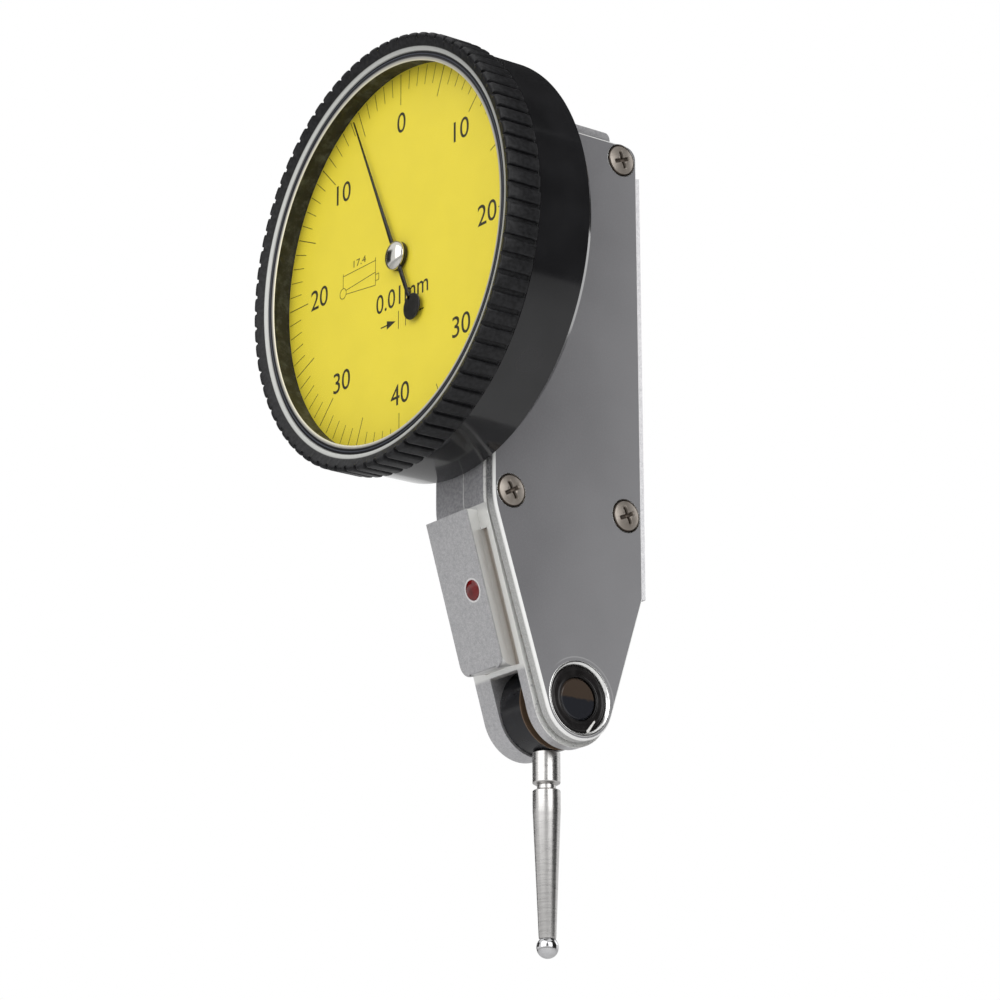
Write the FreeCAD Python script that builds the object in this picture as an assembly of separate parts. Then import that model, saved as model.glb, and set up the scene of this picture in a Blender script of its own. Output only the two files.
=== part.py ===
"""Dial test indicator, lever type, 40 mm dial, 0.01 mm reading, 0.8 mm to a turn.

Millimetres. The pieces are drawn with the centre of the dial face at (0, 0, 0): X across the
body, Y from the dial towards the back, Z up. save() then moves each piece so that the origin of
the part is the centre of the rear dovetail's outer face, where the indicator is clamped.
"""
import FreeCAD, Part
import math
import os

# ---- dial, bezel and case ------------------------------------------------------------------
bezel_radius = 20.0        # outside of the grip ridges
bezel_depth = 3.4          # front rim to back rim
dial_recess = 2.6          # front rim of the bezel to the dial face
ridge_count = 80           # grip ridges round the bezel, one to a dial division
ridge_groove_width = 0.42
ridge_groove_depth = 0.34
bezel_wall = 2.1           # ridge tops to the inner wall between crystal and dial
lip_overlap = 0.35         # how far the lip reaches over the crystal
lip_setback = 0.5          # lip's sharp edge behind the front rim
lip_bevel = 1.35           # width of the bevel from the lip to the flat rim
lip_thick = 0.2
crystal_thick = 0.6
dial_thick = 0.35
dial_ledge = 0.2           # shoulder that the dial seats on
snap_thick = 0.3
snap_width = 0.5
spigot_length = 2.2        # part of the bezel that turns inside the case
spigot_wall = 0.6
spigot_taper = 0.3         # the spigot is thinner in front, where the retaining wire lies
case_step = 0.5            # case is this much smaller in radius than the bezel
case_length = 6.25
case_floor = 1.1
case_chamfer = 0.8
upper_case_screw = 8.5     # screws through the case floor, above and below the dial axis
lower_case_screw = 13.0
case_screw_head = 1.1
case_screw_shank = 0.5
case_screw_thick = 0.6
wire_size = 0.3            # square section of the bezel's retaining wire
wire_corners = 24          # the wire is bent to straight sides
wire_bite = 0.3            # depth of its corners in the case wall
wire_setback = 0.4         # wire behind the bezel's rim
wire_gap = 1.2             # half the opening of a bent ring
running_fit = 0.05         # radial gap of the turning bezel
face_gap = 0.05            # axial gap between bezel and case

# ---- body, seen from the side --------------------------------------------------------------
body_half = 4.5            # half the thickness over frame and cover
cover_thick = 1.3
cover_step = 0.25          # depth and height of the shadow step round the cover's inner edge
body_depth = 16.65         # front face to back face
top_height = 14.9          # top face above the dial axis
neck_drop = 22.4           # end of the upright neck below the dial axis
heel_drop = 28.9           # end of the upright back
pivot_drop = 39.17         # stylus pivot below the dial axis
pivot_depth = 16.45        # stylus pivot behind the dial face
frame_lobe = 4.15          # radius of the fork's round end
cover_lobe = 3.75          # radius of the cover's round end
top_corner = 1.2
neck_blend = 1.2
edge_break = 0.25          # small chamfer on outer edges
front_wall = 1.1
back_wall = 1.9
roof_wall = 1.5
side_wall = 1.3

# ---- dovetails -----------------------------------------------------------------------------
rail_width = 6.0
rail_angle = 30.0          # undercut, from the normal of the face
rail_height = 1.5          # rear and top dovetails
front_rail_height = 2.2
front_rail_length = 14.2
front_rail_start = 0.4     # below the upper end of the slanting face
front_rail_corner = 1.2    # rounding of its lower corners
rear_rail_top = 12.7       # upper end above the dial axis
rear_rail_length = 41.1
top_rail_setback = 1.65    # end of the top dovetail before the back face
relief_width = 0.8         # groove beside the front dovetail's root
relief_depth = 0.4
relief_start = 2.2         # below the upper end of the slanting face
dot_radius = 1.0           # enamel dot on the front dovetail
dot_offset = 1.25
dot_drop = 7.4             # below the upper end of the slanting face
dot_depth = 0.15

# ---- cover screws --------------------------------------------------------------------------
screw_inset = 1.85         # screw centre from the back face
upper_screw_drop = 1.64    # upper screw below the top face
lower_screw_drop = 21.4    # lower pair below the dial axis
front_screw_inset = 1.87   # front screw behind the front face
screw_head = 1.5           # head radius
screw_shank = 0.8
screw_length = 3.2
head_height = 0.75
head_seat = 0.35           # depth of the counterbore in the cover
head_rim = 0.25            # straight edge of the head below its slope
head_top = 0.95            # radius of the head's flat top
head_gap = 0.1             # round the head in its counterbore
recess_width = 0.34
recess_length = 1.7
recess_depth = 0.35

# ---- fork, drum and stylus -----------------------------------------------------------------
fork_gap = 4.0             # slot between the cheeks
slot_roof = 2.37           # front and rear edges of the slot's roof above the pivot
pocket_roof = 5.17         # roof over the drum above the pivot
pocket_half = 4.35         # half the length of the pocket that the drum turns in
drum_radius = 3.95
drum_gap = 0.25            # round the drum
side_gap = 0.1             # beside the drum
shaft_radius = 1.2
fit_gap = 0.02             # shaft in its bushings
drum_bore_gap = 0.03
left_bush_radius = 2.0
right_bush_radius = 2.6
flange_radius = 3.0
cover_hole_radius = 3.24
cap_radius = 1.9
cap_thick = 0.6
cap_gap = 0.1
flange_setback = 0.3       # bushing flange below the cover's face
bush_slit = 0.45
lever_thick = 0.65
lever_hub = 3.3            # radius of the lever's round foot
lever_foot = 1.3           # half widths of the lever at the foot and at the pin
lever_tip = 0.65
washer_radius = 2.6
washer_thick = 0.25
seat_to_ball = 17.4        # stylus seat to the centre of the ball
ball_radius = 1.0
shank_radius = 1.25
shank_upper = 2.8          # plain length above the wrench groove
groove_height = 0.7
groove_radius = 0.85
shank_lower = 2.0
tip_radius = 0.765
thread_radius = 0.7
thread_length = 1.5
dish_middle = 0.5          # radius between the two cones of the ball's seat
seat_gap = 0.02            # braze between the ball and its seat

# ---- gear train ----------------------------------------------------------------------------
gear_module = 0.16
centre_teeth = 18
crown_teeth = 44
small_teeth = 14
sector_teeth = 140         # of the full circle
sector_count = 13          # teeth that are cut
pressure_angle = math.radians(20)
backlash = 0.05
centre_mesh = 8.98         # middle of the centre pinion's face behind the dial
centre_face = 0.7
crown_face = 0.8
crown_disc = 0.7
sector_thick = 0.7
sector_tail = 3.5
sector_side = 0.45         # sector's left face from the middle plane
small_face = 0.9
small_side = 0.35
arbor_radius = 0.4
pivot_radius = 0.25        # thinned ends of the arbors
pin_radius = 0.3
pin_gap = 0.03
bridge_side = 2.0          # bridge's inner face from the middle plane
bridge_thick = 0.8
pillar_radius = 1.1
pillar_inset = 1.7         # rear pillars in front of the back wall
pillar_rise = 2.6          # upper rear pillar above the dial axis
pillar_drop = 1.4          # lower rear pillar below the sector's axis
front_pillar_inset = 2.0   # front pillar behind the front wall
front_pillar_rise = 2.2    # front pillar above the sector's axis
bridge_margin = 0.3        # bridge metal outside the pillars
bridge_top = 2.2           # upper front corner of the bridge above the dial axis
bridge_screw_head = 0.95
bridge_screw_shank = 0.5
bridge_screw_thick = 0.3
cock_width = 1.5           # arm that carries the rear pivot of the pointer arbor
cock_thick = 0.8
jewel_radius = 0.7
jewel_thick = 0.6
spring_turns = 4
spring_bends = 14          # straight lengths to a turn
spring_inner = 0.85
spring_pitch = 0.24
spring_strip = 0.08
spring_height = 0.25
collet_radius = 0.7

# ---- pointer -------------------------------------------------------------------------------
pointer_angle = -24.2      # at rest, clockwise from the top of the dial
pointer_gap = 1.03         # needle's tip to the bezel's inner wall
pointer_root = 0.6         # widths of the needle
pointer_tip = 0.2
pointer_thick = 0.14
pointer_back = 0.5         # needle's back face in front of the dial
tail_reach = 5.5
tail_width = 0.5
tail_radius = 1.25
hub_radius = 1.37
hub_height = 0.52
boss_radius = 1.35
bush_radius = 1.6          # bush in the case floor that the pointer arbor turns in

# ---- places worked out from the sizes above ------------------------------------------------
bore_radius = bezel_radius - bezel_wall
lip_radius = bore_radius - lip_overlap
case_radius = bezel_radius - case_step
pointer_reach = bore_radius - pointer_gap
bezel_front = -dial_recess
bezel_back = bezel_front + bezel_depth
case_front = bezel_back + face_gap
case_back = case_front + case_length
body_back = case_back + body_depth
frame_right = body_half - cover_thick
recess_radius = bore_radius + dial_ledge
spigot_radius = recess_radius + spigot_wall
case_bore = spigot_radius + running_fit
wire_radius = case_bore + wire_bite
wire_front = bezel_back + wire_setback
spigot_back = bezel_back + spigot_length
cavity_front = case_back + front_wall
cavity_back = body_back - back_wall
cavity_top = top_height - roof_wall
cavity_left = -body_half + side_wall
fork_half = fork_gap / 2
shoulder = pivot_drop + drum_radius
ball_drop = shoulder + seat_to_ball
crown_radius = gear_module * crown_teeth / 2
centre_radius = gear_module * centre_teeth / 2
crown_y = centre_mesh + crown_radius
train_distance = gear_module * (small_teeth + sector_teeth) / 2
sector_y = pivot_depth
sector_z = -math.sqrt(train_distance ** 2 - (sector_y - crown_y) ** 2)
pin_z = sector_z - sector_tail
lever_left = fork_half - side_gap - lever_thick
drum_left = -fork_half + side_gap
drum_right = lever_left - washer_thick
stylus_side = (drum_left + drum_right) / 2
cover_screw_places = [
    (body_back - screw_inset, top_height - upper_screw_drop),
    (body_back - screw_inset, -lower_screw_drop),
    (case_back + front_screw_inset, -lower_screw_drop),
]
pocket_top = -pivot_drop + pocket_roof
pillar_places = [
    (cavity_back - pillar_inset, pillar_rise),
    (cavity_back - pillar_inset, sector_z - pillar_drop),
    (cavity_front + front_pillar_inset, sector_z + front_pillar_rise),
]
jewel_places = [(crown_y, 0.0), (sector_y, sector_z)]
case_screw_heights = [upper_case_screw, -lower_case_screw]


def vec(x, y, z):
    return FreeCAD.Vector(x, y, z)


def save(name, shape):
    """Move a piece into the part's frame and write it."""
    placed = shape.copy()
    placed.translate(vec(0, -(body_back + rail_height), rear_rail_length / 2 - rear_rail_top))
    placed.exportStep("parts/" + name + ".step")


def cyl_x(radius, x0, x1, y, z):
    return Part.makeCylinder(radius, x1 - x0, vec(x0, y, z), vec(1, 0, 0))


def cyl_y(radius, y0, y1, x=0.0, z=0.0):
    return Part.makeCylinder(radius, y1 - y0, vec(x, y0, z), vec(0, 1, 0))


def prism(sides, radius, start, axis, length):
    """A regular prism with its corners on the radius: a thread, a small post or its hole."""
    along = vec(*axis)
    side = vec(0, 0, 1) if abs(along.z) < 0.5 else vec(1, 0, 0)
    other = along.cross(side)
    corners = []
    for i in range(sides):
        turn = 2 * math.pi * i / sides
        corners.append(start + side * (radius * math.cos(turn)) + other * (radius * math.sin(turn)))
    return Part.Face(Part.makePolygon(corners + corners[:1])).extrude(along * length)


def prism_x(sides, radius, x0, x1, y, z):
    return prism(sides, radius, vec(x0, y, z), (1, 0, 0), x1 - x0)


def prism_y(sides, radius, y0, y1, x=0.0, z=0.0):
    return prism(sides, radius, vec(x, y0, z), (0, 1, 0), y1 - y0)


def round_hole(radius):
    """Corner radius of a 12-sided hole that clears a pin of this radius."""
    return radius / math.cos(math.pi / 12)


def block(x0, x1, y0, y1, z0, z1):
    return Part.makeBox(x1 - x0, y1 - y0, z1 - z0, vec(x0, y0, z0))


def plate_x(wire, x0, x1):
    """A plate between two X planes from a wire drawn at X = 0."""
    face = Part.Face(wire)
    face.translate(vec(x0, 0, 0))
    return face.extrude(vec(x1 - x0, 0, 0))


def poly_yz(points):
    corners = [vec(0, y, z) for y, z in points]
    return Part.makePolygon(corners + corners[:1])


def turned_y(profile):
    """A solid turned about the dial axis from (radius, y) points."""
    corners = [vec(r, y, 0) for r, y in profile]
    face = Part.Face(Part.makePolygon(corners + corners[:1]))
    return face.revolve(vec(0, 0, 0), vec(0, 1, 0), 360)


def turned_x(profile, y, z):
    """A solid turned about a line along X from (radius, x) points."""
    corners = [vec(x, y + r, z) for r, x in profile]
    face = Part.Face(Part.makePolygon(corners + corners[:1]))
    return face.revolve(vec(0, y, z), vec(1, 0, 0), 360)


def turned_z(profile, x, y):
    """A solid turned about an upright axis from (radius, z) points."""
    corners = [vec(x + r, y, z) for r, z in profile]
    face = Part.Face(Part.makePolygon(corners + corners[:1]))
    return face.revolve(vec(x, y, 0), vec(0, 0, 1), 360)


def tangent_point(y, z, radius, side):
    """Where the line from (y, z) touches the round end about the stylus pivot."""
    dy = y - pivot_depth
    dz = z + pivot_drop
    turn = math.atan2(dz, dy) + side * math.acos(radius / math.hypot(dy, dz))
    return (pivot_depth + radius * math.cos(turn), -pivot_drop + radius * math.sin(turn))


def body_wire(lobe):
    """Side outline of the body: upright neck and back, slanting edges, round lower end."""
    neck = (case_back, -neck_drop)
    heel = (body_back, -heel_drop)
    front = tangent_point(neck[0], neck[1], lobe, 1)
    rear = tangent_point(heel[0], heel[1], lobe, -1)
    slant = math.atan2(front[0] - neck[0], neck[1] - front[1])
    up = (neck[0], neck[1] + neck_blend)
    down = (neck[0] + neck_blend * math.sin(slant), neck[1] - neck_blend * math.cos(slant))
    mid = ((up[0] + down[0] + 2 * neck[0]) / 4, (up[1] + down[1] + 2 * neck[1]) / 4)
    corner = (body_back - top_corner, top_height - top_corner)
    diagonal = top_corner * math.sqrt(0.5)

    def at(p):
        return vec(0, p[0], p[1])

    edges = [
        Part.LineSegment(at((case_back, top_height)), at(up)),
        Part.Arc(at(up), at(mid), at(down)),
        Part.LineSegment(at(down), at(front)),
        Part.Arc(at(front), at((pivot_depth, -pivot_drop - lobe)), at(rear)),
        Part.LineSegment(at(rear), at(heel)),
        Part.LineSegment(at(heel), at((body_back, corner[1]))),
        Part.Arc(at((body_back, corner[1])), at((corner[0] + diagonal, corner[1] + diagonal)),
                 at((corner[0], top_height))),
        Part.LineSegment(at((corner[0], top_height)), at((case_back, top_height))),
    ]
    return Part.Wire([edge.toShape() for edge in edges])


def slant_frame():
    """Start, direction down and outward normal of the frame's slanting front face."""
    start = (case_back, -neck_drop)
    end = tangent_point(start[0], start[1], frame_lobe, 1)
    length = math.hypot(end[0] - start[0], end[1] - start[1])
    along = vec(0, (end[0] - start[0]) / length, (end[1] - start[1]) / length)
    outward = vec(0, along.z, -along.y)
    return vec(0, start[0], start[1]), along, outward


def dovetail(origin, along, outward, height, length):
    """A dovetail rail: wide outside, undercut to a narrow root that is sunk a little."""
    half = rail_width / 2
    root = half - height * math.tan(math.radians(rail_angle))
    sink = 0.2
    corners = []
    for x, out in [(-root, -sink), (root, -sink), (root, 0), (half, height), (-half, height), (-root, 0)]:
        corners.append(origin + vec(x, 0, 0) + outward * out)
    face = Part.Face(Part.makePolygon(corners + corners[:1]))
    return face.extrude(along * length)


def rear_rail():
    return dovetail(vec(0, body_back, rear_rail_top), vec(0, 0, -1), vec(0, 1, 0),
                    rail_height, rear_rail_length)


def top_rail():
    start = case_back + edge_break
    end = body_back - top_rail_setback
    rail = dovetail(vec(0, start, top_height), vec(0, 1, 0), vec(0, 0, 1), rail_height, end - start)
    radius = 0.6 * rail_height
    z = top_height + rail_height - radius
    corner = block(-rail_width, rail_width, end - radius, end + 1, z, z + rail_height)
    return rail.cut(corner.cut(cyl_x(radius, -rail_width, rail_width, end - radius, z)))


def front_rail():
    """The slanting front dovetail, its lower corners rounded as seen from the front."""
    start, along, outward = slant_frame()
    upper_end = start + along * front_rail_start
    rail = dovetail(upper_end, along, outward, front_rail_height, front_rail_length)
    radius = front_rail_corner
    deep = outward * (front_rail_height + 1)
    for side in (-1, 1):
        centre = upper_end + along * (front_rail_length - radius) + vec(side * (rail_width / 2 - radius), 0, 0)
        aside = vec(side * rail_width, 0, 0)
        below = along * rail_width
        corners = [centre, centre + aside, centre + aside + below, centre + below]
        waste = Part.Face(Part.makePolygon(corners + corners[:1])).extrude(deep)
        pin = Part.makeCylinder(radius, deep.Length, centre, outward)
        rail = rail.cut(waste.cut(pin))
    return rail


def relief_grooves():
    """Shallow grooves beside the root of the front dovetail, where the cutter ran out."""
    start, along, outward = slant_frame()
    root = rail_width / 2 - front_rail_height * math.tan(math.radians(rail_angle))
    grooves = []
    for side in (-1, 1):
        near = side * root
        far = side * (root + relief_width)
        corners = []
        for x, out in [(near, 0.5), (far, 0.5), (far, -relief_depth), (near, -relief_depth)]:
            corners.append(start + vec(x, 0, 0) + outward * out + along * relief_start)
        face = Part.Face(Part.makePolygon(corners + corners[:1]))
        grooves.append(face.extrude(along * (front_rail_start + front_rail_length - relief_start)))
    return Part.makeCompound(grooves)


def cavity():
    """The hollow for the movement, with the channel that the lever comes up."""
    channel_front = pivot_depth - 3.1
    channel_back = pivot_depth + 3.0
    channel_end = -pivot_drop + drum_radius + drum_gap + 1.5
    shelf = sector_z - sector_tail - 3.8
    main = poly_yz([
        (cavity_front, cavity_top), (cavity_front, shelf + 2.5), (channel_front, shelf),
        (channel_front, channel_end), (channel_back, channel_end), (channel_back, shelf),
        (cavity_back, shelf + 2.5), (cavity_back, cavity_top),
    ])
    hollow = plate_x(main, cavity_left, frame_right)
    for y, z in cover_screw_places:
        hollow = hollow.cut(prism_x(8, screw_shank + 1.0, cavity_left, frame_right, y, z))
    passage = block(lever_left - 0.3, fork_half, pivot_depth - 1.7, pivot_depth + 1.7,
                    -pivot_drop + 2, channel_end + 0.1)
    return hollow.fuse(passage)


def fork_slot():
    low = -pivot_drop - frame_lobe - 1
    slot = block(-fork_half, fork_half, case_back, body_back, low, -pivot_drop + slot_roof)
    pocket = block(-fork_half, fork_half, pivot_depth - pocket_half, pivot_depth + pocket_half,
                   low, pocket_top)
    return slot.fuse(pocket)


def dot_foot():
    """Centre of the enamel dot's recess floor on the front dovetail."""
    start, along, outward = slant_frame()
    return start + along * dot_drop + outward * (front_rail_height - dot_depth) + vec(dot_offset, 0, 0)


def frame_blank():
    """The whole frame, one casting, before it is divided at the fork."""
    body = plate_x(body_wire(frame_lobe), -body_half, frame_right)
    rim = [e for e in body.Edges if e.BoundBox.XMax < -body_half + 1e-6]
    body = body.makeChamfer(edge_break, rim)
    body = body.fuse([rear_rail(), top_rail(), front_rail()]).removeSplitter()
    cuts = [
        cavity(),
        fork_slot(),
        relief_grooves(),
        cyl_x(left_bush_radius, -body_half - 1, 0, pivot_depth, -pivot_drop),
        cyl_x(right_bush_radius, 0, body_half, pivot_depth, -pivot_drop),
        cyl_y(bush_radius, case_back - 1, cavity_front + 0.1),
        Part.makeCylinder(dot_radius, 1, dot_foot(), slant_frame()[2]),
    ]
    for y, z in cover_screw_places:
        cuts.append(prism_x(6, screw_shank, frame_right - screw_length, frame_right + 1, y, z))
    for z in case_screw_heights:
        cuts.append(prism_y(6, case_screw_shank, case_back - 1, cavity_front + 1, 0, z))
    for y, z in jewel_places:
        cuts.append(prism_x(12, jewel_radius, cavity_left - jewel_thick, cavity_left + 0.1, y, z))
    return body.cut(cuts)


def fork_zone(x0, x1):
    """The part of the frame's outline below the roof of the drum's pocket, between two X planes."""
    low = -pivot_drop - frame_lobe - 1
    zone = block(x0, x1, case_back, body_back, low, pocket_top)
    return plate_x(body_wire(frame_lobe), x0, x1).common(zone)


def frame():
    return frame_blank().cut(fork_zone(-body_half, frame_right))


def fork_cheek_left():
    return frame_blank().common(fork_zone(-body_half, -fork_half))


def fork_cheek_right():
    return frame_blank().common(fork_zone(fork_half, frame_right))


def fork_webs():
    """Metal that joins the cheeks in front of the drum and behind it."""
    return frame_blank().common(fork_zone(-fork_half, fork_half))


def colour_dot():
    return Part.makeCylinder(dot_radius, dot_depth, dot_foot(), slant_frame()[2])


def side_cover():
    """Cover plate: stepped inner edge, broken outer edge, countersunk screws, pivot hole."""
    outline = body_wire(cover_lobe)
    plate = plate_x(outline, frame_right + cover_step, body_half)
    rim = [e for e in plate.Edges if e.BoundBox.XMin > body_half - 1e-6]
    plate = plate.makeChamfer(edge_break * 0.7, rim)
    inner = plate_x(outline.makeOffset2D(-cover_step), frame_right, frame_right + cover_step)
    plate = plate.fuse(inner).removeSplitter()
    cuts = [cyl_x(cover_hole_radius, frame_right - 1, body_half + 1, pivot_depth, -pivot_drop)]
    for y, z in cover_screw_places:
        cuts.append(prism_x(6, screw_shank, frame_right - 1, body_half + 1, y, z))
        cuts.append(cyl_x(screw_head + head_gap, body_half - head_seat, body_half + 1, y, z))
    return plate.cut(cuts)


def cross_screw(y, z, turn):
    """Oval-head screw with a cross recess, its head partly sunk in the cover."""
    seat = body_half - head_seat
    top = seat + head_height
    screw = turned_x([(0, seat), (screw_head, seat), (screw_head, seat + head_rim), (head_top, top),
                      (0, top)], y, z)
    for extra in (0, 90):
        arm = block(top - recess_depth, top + 1, -recess_length / 2, recess_length / 2,
                    -recess_width / 2, recess_width / 2)
        arm.rotate(vec(0, 0, 0), vec(1, 0, 0), turn + extra)
        arm.translate(vec(0, y, z))
        screw = screw.cut(arm)
    return screw.fuse(prism_x(6, screw_shank, frame_right - screw_length + 0.3, seat, y, z))


def cover_screws():
    turns = (20, 25, 30)
    return Part.makeCompound([cross_screw(y, z, t) for (y, z), t in zip(cover_screw_places, turns)])


def hex_screw(shank, head, start, axis, length, head_thick):
    """Small screw: hexagonal head before the start point, shank along the axis."""
    along = vec(*axis)
    return prism(6, head, start - along * head_thick, axis, head_thick).fuse(
        prism(6, shank, start, axis, length))


def wire_polygon(radius, thick, y0, y1):
    """A ring bent from wire to straight sides, its corners on the radius."""
    inner = radius - thick / math.cos(math.pi / wire_corners)
    return prism_y(wire_corners, radius, y0, y1).cut(prism_y(wire_corners, inner, y0 - 1, y1 + 1))


def dial_case():
    floor = case_back - case_floor
    shell = turned_y([
        (case_bore, case_front), (case_radius, case_front), (case_radius, case_back - case_chamfer),
        (case_radius - case_chamfer, case_back), (bush_radius, case_back), (bush_radius, floor),
        (case_bore, floor),
    ])
    groove = prism_y(wire_corners, wire_radius + fit_gap, wire_front - fit_gap,
                     wire_front + wire_size + fit_gap)
    cuts = [groove]
    for z in case_screw_heights:
        cuts.append(prism_y(6, case_screw_shank, floor - 1, case_back + 1, 0, z))
    return shell.cut(cuts)


def case_screws():
    length = case_floor + front_wall - 0.1
    screws = []
    for z in case_screw_heights:
        start = vec(0, case_back - case_floor, z)
        screws.append(hex_screw(case_screw_shank, case_screw_head, start, (0, 1, 0), length,
                                case_screw_thick))
    return Part.makeCompound(screws)


def retaining_wire():
    """Open ring of bent wire. Its corners sit in the case; its sides hold the tapered spigot."""
    ring = wire_polygon(wire_radius, wire_size, wire_front, wire_front + wire_size)
    return ring.cut(block(-wire_gap, wire_gap, 0, case_back, 0, bezel_radius))


def centre_bush():
    tube = cyl_y(bush_radius, case_back - case_floor - 0.5, cavity_front + 0.1)
    return tube.cut(cyl_y(arbor_radius + fit_gap, 0, body_back))


def ridge_wire(y):
    """Bezel outline with a narrow groove between neighbouring ridges."""
    step = 2 * math.pi / ridge_count
    half = math.asin(ridge_groove_width / 2 / bezel_radius)
    root = bezel_radius - ridge_groove_depth
    half_root = 0.6 * half * bezel_radius / root
    corners = []

    def at(radius, angle):
        return vec(radius * math.sin(angle), y, radius * math.cos(angle))

    for i in range(ridge_count):
        a = i * step
        corners += [at(root, a - half_root), at(root, a + half_root),
                    at(bezel_radius, a + half), at(bezel_radius, a + step - half)]
    return Part.makePolygon(corners + corners[:1])


def bezel_ring():
    """Ridged grip ring with the crystal seat, the dial's ledge and the turning spigot."""
    grip = Part.Face(Part.Wire(ridge_wire(bezel_front))).extrude(vec(0, bezel_depth, 0))
    spigot = turned_y([
        (0, bezel_back - 1), (spigot_radius - spigot_taper, bezel_back - 1),
        (spigot_radius - spigot_taper, bezel_back), (spigot_radius, spigot_back), (0, spigot_back),
    ])
    edge = bezel_front + lip_setback + lip_thick
    hollow = turned_y([
        (0, bezel_front - 1), (lip_radius + lip_bevel, bezel_front - 1),
        (lip_radius + lip_bevel, bezel_front), (lip_radius, edge), (bore_radius, edge),
        (bore_radius, 0), (recess_radius, 0), (recess_radius, spigot_back + 1), (0, spigot_back + 1),
    ])
    return grip.fuse(spigot).cut(hollow)


def crystal():
    front = bezel_front + lip_setback + lip_thick
    return cyl_y(bore_radius, front, front + crystal_thick)


def dial_face():
    disc = cyl_y(recess_radius, 0, dial_thick)
    return disc.cut(prism_y(12, round_hole(arbor_radius + 0.3), -1, 1))


def dial_snap_ring():
    """Ring of bent wire that holds the dial on its ledge."""
    ring = wire_polygon(recess_radius, snap_width, dial_thick, dial_thick + snap_thick)
    return ring.cut(block(-wire_gap, wire_gap, 0, case_back, -bezel_radius, 0))


def involute(base, radius):
    if radius <= base:
        return 0.0
    return math.sqrt((radius / base) ** 2 - 1) - math.acos(base / radius)


def tooth_points(teeth, tip_factor):
    """Right flank of a tooth on the X axis, as (radius, angle) at root, base and tip."""
    pitch = gear_module * teeth / 2
    base = pitch * math.cos(pressure_angle)
    root = pitch - 1.3 * gear_module
    tip = pitch + tip_factor * gear_module
    half = math.pi / (2 * teeth) - backlash / (2 * pitch) + involute(base, pitch)
    radii = (root, base, tip) if base > root + 0.01 else (root, tip)
    return [(r, half - involute(base, r)) for r in radii]


def gear_corners(teeth, first, count, place, tip_factor=0.9):
    """Corners of a run of involute teeth, each flank a chord; place(radius, angle) gives a point."""
    flank = tooth_points(teeth, tip_factor)
    corners = []
    for i in range(count):
        a = first + i * 2 * math.pi / teeth
        corners += [place(r, a - t) for r, t in flank]
        corners += [place(r, a + t) for r, t in reversed(flank)]
    return corners


def toothed_wheel(teeth, first, place, depth):
    corners = gear_corners(teeth, first, teeth, place)
    return Part.Face(Part.makePolygon(corners + corners[:1])).extrude(depth)


def centre_arbor():
    """Pointer arbor with the centre pinion; a tooth points at the crown wheel."""
    y0 = centre_mesh - centre_face / 2
    y1 = centre_mesh + centre_face / 2

    def place(radius, angle):
        return vec(-radius * math.cos(angle), y0, radius * math.sin(angle))

    pinion = toothed_wheel(centre_teeth, 0, place, vec(0, centre_face, 0))
    shaft = cyl_y(arbor_radius, -(pointer_back + pointer_thick), y0)
    end = prism_y(12, pivot_radius, y1, y1 + 0.3 + cock_thick)
    return pinion.fuse([shaft, end]).removeSplitter()


def crown_gear():
    """Crown wheel: radial teeth raised on its face, cut by gaps that the centre pinion runs in."""
    face = -centre_radius
    tip = face + 0.8 * gear_module
    root = face - 1.3 * gear_module
    wheel = prism_x(crown_teeth, crown_radius + crown_face / 2, root - crown_disc, tip, crown_y, 0)
    wheel = wheel.cut(prism_x(crown_teeth, crown_radius - crown_face / 2, root, tip + 1, crown_y, 0))
    lean = math.tan(pressure_angle)
    gap = math.pi * crown_radius / crown_teeth + backlash
    low = gap / 2 - (face - root) * lean
    high = gap / 2 + (tip + 0.1 - face) * lean
    points = [vec(x, crown_y - crown_radius - crown_face, z)
              for x, z in [(root, -low), (root, low), (tip + 0.1, high), (tip + 0.1, -high)]]
    first = Part.Face(Part.makePolygon(points + points[:1])).extrude(vec(0, 2 * crown_face, 0))
    gaps = []
    for i in range(crown_teeth):
        gap_solid = first.copy()
        gap_solid.rotate(vec(0, crown_y, 0), vec(1, 0, 0), i * 360 / crown_teeth)
        gaps.append(gap_solid)
    wheel = wheel.cut(Part.makeCompound(gaps))
    return wheel.cut(prism_x(12, round_hole(arbor_radius), -body_half, 0, crown_y, 0))


def arbor_x(y, z, shoulder_x):
    """Arbor across the movement: round up to its shoulder, thinned at both ends for its jewels."""
    shaft = cyl_x(arbor_radius, cavity_left + 0.1, shoulder_x, y, z)
    rest = prism_x(12, arbor_radius, shoulder_x, bridge_side - 0.1, y, z)
    left = prism_x(12, pivot_radius, cavity_left - 0.4, cavity_left + 0.1, y, z)
    right = prism_x(12, pivot_radius, bridge_side - 0.1, bridge_side + 0.4, y, z)
    return shaft.fuse([rest, left, right])


def crown_arbor():
    """Arbor of the crown wheel with the small pinion; a gap of the pinion faces the sector."""
    towards = math.atan2(sector_z, sector_y - crown_y)
    first = towards + math.pi / small_teeth

    def place(radius, angle):
        return vec(small_side, crown_y + radius * math.cos(angle), radius * math.sin(angle))

    pinion = toothed_wheel(small_teeth, first, place, vec(small_face, 0, 0))
    return arbor_x(crown_y, 0, small_side).fuse(pinion).removeSplitter()


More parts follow.
